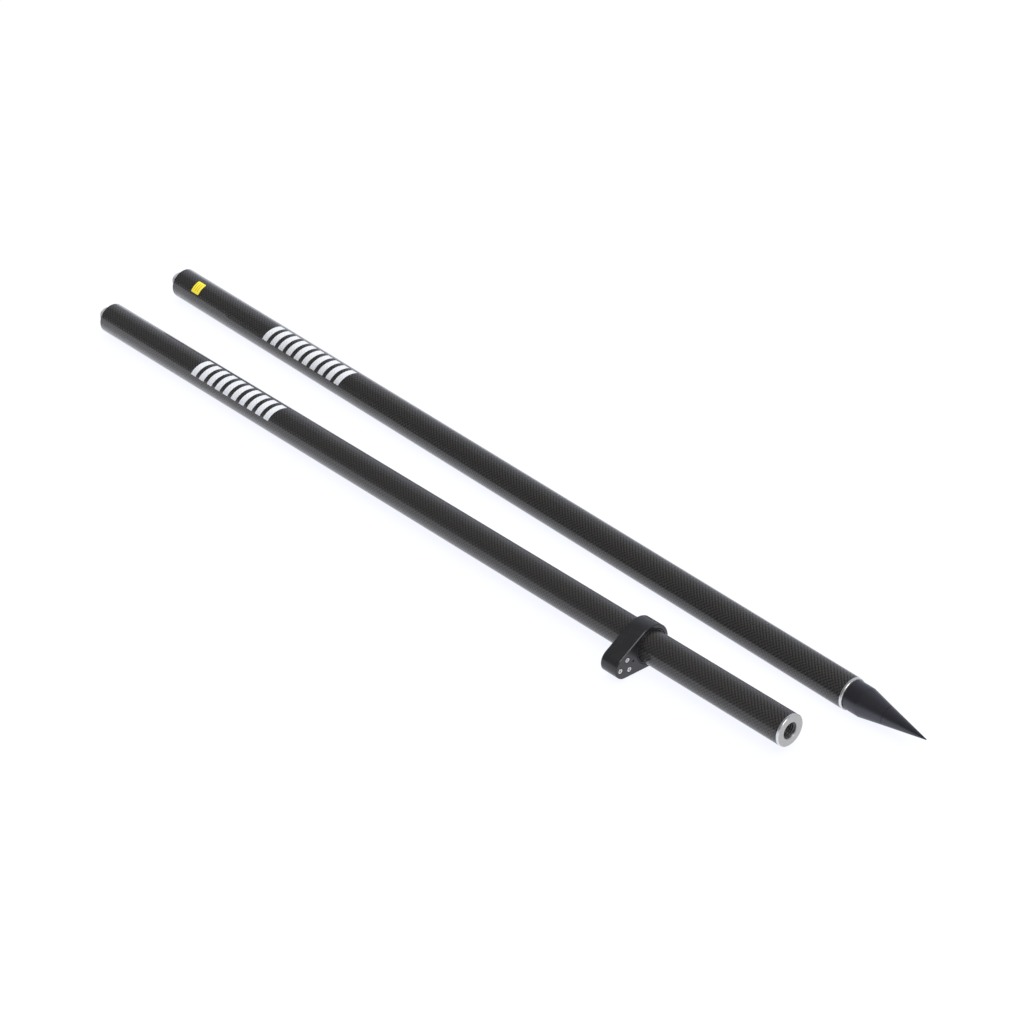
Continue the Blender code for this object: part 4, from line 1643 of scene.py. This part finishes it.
    def ring(self) -> None:
        """Black ring that holds the glass in."""
        top, outer, inner = -self.ring_top, self.vial_radius, self.vial_radius - self.ring_lip
        low = top + self.ring_height
        outline = rounded([
            (low, inner, 0.1 * MM), (top, inner, 0.3 * MM), (top, outer, 0.15 * MM), (low, outer, 0.1 * MM),
        ], closed=True)
        piece = show("level_retaining_ring", solid("ring", outline, self.axes, 128, closed=True))
        settle(piece, Seat("vial", ("vial_retaining_ring",), "black_nylon", NYLON))

    def seal(self) -> None:
        """Rubber ring under the housing, which the adjusting screws squeeze."""
        axes, section = self.axes.moved(x=-self.seal_place), self.seal_section
        seat = Seat("collar", ("vial_o_ring",), "seal_rubber", RUBBER)
        torus("level_seal_ring", axes, self.housing_radius - section, section, seat)

    def build(self) -> None:
        """Build the level's six pieces."""
        self.housing()
        self.disc_piece()
        self.liquid()
        self.glass()
        self.ring()
        self.seal()


# ---- studio --------------------------------------------------------------------------------------


@dataclass(frozen=True)
class Studio:
    """Pale floor, soft light and the camera."""

    azimuth: float = 48.319
    elevation: float = 35.152
    roll: float = -0.9675
    lens: float = 118.52
    distance: float = 3.1926
    target: tuple[float, float, float] = (0.0298, 0.0267, 0.0155)
    floor_half: float = 9.0
    sky: float = 0.16
    sky_tint: tuple[float, float, float] = (0.96, 0.98, 1.0)
    softbox_tint: tuple[float, float, float] = (0.92, 0.97, 1.12)
    softbox_span: tuple[float, float] = (-3.6, 1.6)
    side: float = 4.0
    side_size: float = 1.5
    overhead: float = 3.3
    overhead_spread: float = math.radians(80)

    def basis(self) -> tuple[np.ndarray, np.ndarray, np.ndarray]:
        """Work out the camera's directions from its azimuth and elevation.

        Returns:
            Right, up and backward, before the roll.
        """
        a, e = math.radians(self.azimuth), math.radians(self.elevation)
        back = np.array([math.sin(a) * math.cos(e), -math.cos(a) * math.cos(e), math.sin(e)])
        right = np.array([math.cos(a), math.sin(a), 0.0])
        return right, np.cross(back, right), back

    def camera(self) -> None:
        """Long-lens camera that looks down on the pole from its foot end."""
        right, up, back = self.basis()
        q = math.radians(self.roll)
        across, above = right * math.cos(q) + up * math.sin(q), up * math.cos(q) - right * math.sin(q)
        data = bpy.data.cameras.new("studio_camera")
        data.lens, data.sensor_width, data.sensor_fit = self.lens, 36.0, "HORIZONTAL"
        data.clip_start, data.clip_end = 0.05, 60.0
        camera = bpy.data.objects.new("studio_camera", data)
        bpy.context.scene.collection.objects.link(camera)
        spot = np.array(self.target) + back * self.distance
        turn = Matrix(np.stack([across, above, back], 1).tolist()).to_4x4()
        camera.matrix_world = Matrix.Translation(Vector(spot)) @ turn
        bpy.context.scene.camera = camera

    def floor(self) -> None:
        """Flat sheet a fraction of a millimetre under the pole: a square grid at one height."""
        line = np.linspace(-self.floor_half, self.floor_half, 9)
        x, y = np.meshgrid(line, line, indexing="ij")
        patch = Patch(np.stack([x, y, np.full_like(x, float(CAD_LOW.z) - 0.1 * MM)], -1)[:, ::-1], line, line)
        sheet = show("studio_floor", make_mesh("floor", [patch]))
        sheet.data.materials.append(FLOOR.material())

    def hang(self, name: str, kind: str, spot: Sequence[float], aim: Sequence[float]) -> bpy.types.Object:
        """Add a lamp that the camera doesn't see, with its width level.

        Args:
            name: Its name.
            kind: Its type.
            spot: Where it hangs.
            aim: What its face is turned to.

        Returns:
            The lamp.
        """
        lamp = bpy.data.objects.new(name, bpy.data.lights.new(name, kind))
        bpy.context.scene.collection.objects.link(lamp)
        away = unit(np.asarray(spot, float) - np.asarray(aim, float))
        across = unit(np.cross((0.0, 1.0, 0.0) if abs(away[2]) > 0.99 else (0.0, 0.0, 1.0), away))
        turn = Matrix(np.stack([across, np.cross(away, across), away], 1).tolist()).to_4x4()
        lamp.matrix_world = Matrix.Translation(Vector(spot)) @ turn
        lamp.visible_camera = False
        return lamp

    def panel(self, name: str, near: tuple[float, float], far: tuple[float, float], glow: float) -> None:
        """Soft rectangular light that runs parallel to the pole and slopes down behind it.

        Args:
            name: Its name.
            near: Near edge as (y, z).
            far: Far edge as (y, z).
            glow: Radiance. A panel's power is its radiance times its area times pi.
        """
        first, last = self.softbox_span
        length, width = last - first, math.dist(near, far)
        middle = ((first + last) / 2, (near[0] + far[0]) / 2, (near[1] + far[1]) / 2)
        drop, back = near[1] - far[1], far[0] - near[0]
        lamp = self.hang(name, "AREA", middle, (middle[0], middle[1] - drop, middle[2] - back))
        lamp.data.shape, lamp.data.size, lamp.data.size_y = "RECTANGLE", length, width
        lamp.data.energy = glow * length * width * math.pi
        lamp.data.color = self.softbox_tint

    def build(self) -> None:
        """Make the floor, the lights, the world and the camera."""
        scene = bpy.context.scene
        scene.view_settings.view_transform = "Standard"
        self.floor()
        self.panel("back_softbox", (0.40, 1.2), (2.8, 0.02), 0.23)
        self.panel("back_softbox_core", (0.90, 0.98), (2.75, 0.02), 0.20)
        side = self.hang("side_softbox", "AREA", (2.4, -0.35, 2.0), (0.2, 0.0, 0.0))
        side.data.shape, side.data.size, side.data.size_y = "RECTANGLE", self.side_size, self.side_size
        side.data.energy = self.side * self.side_size**2 * math.pi
        overhead = self.hang("overhead_diffuser", "SUN", (0.0, 0.0, 4.0), (0.0, 0.0, 0.0))
        overhead.data.energy, overhead.data.angle = self.overhead, self.overhead_spread
        overhead.visible_glossy = False
        world = bpy.data.worlds.new("studio_world")
        world.use_nodes = True
        background = world.node_tree.nodes["Background"]
        background.inputs["Color"].default_value = (*self.sky_tint, 1.0)
        background.inputs["Strength"].default_value = self.sky
        scene.world = world
        self.camera()


def main() -> None:
    """Build the sections, the point, the collar and the studio, in that order."""
    logging.basicConfig(level=logging.INFO, format="%(message)s")
    layout = Layout.read()
    Section("lower", layout.lower, layout.lower_face).build()
    Section("upper", layout.upper, layout.upper_face).build()
    SerialLabel(layout.lower).build()
    Point(layout.lower.moved(x=layout.lower_face)).build()
    LevelCollar(layout.collar).build()
    Studio().build()


if __name__ == "__main__":
    main()
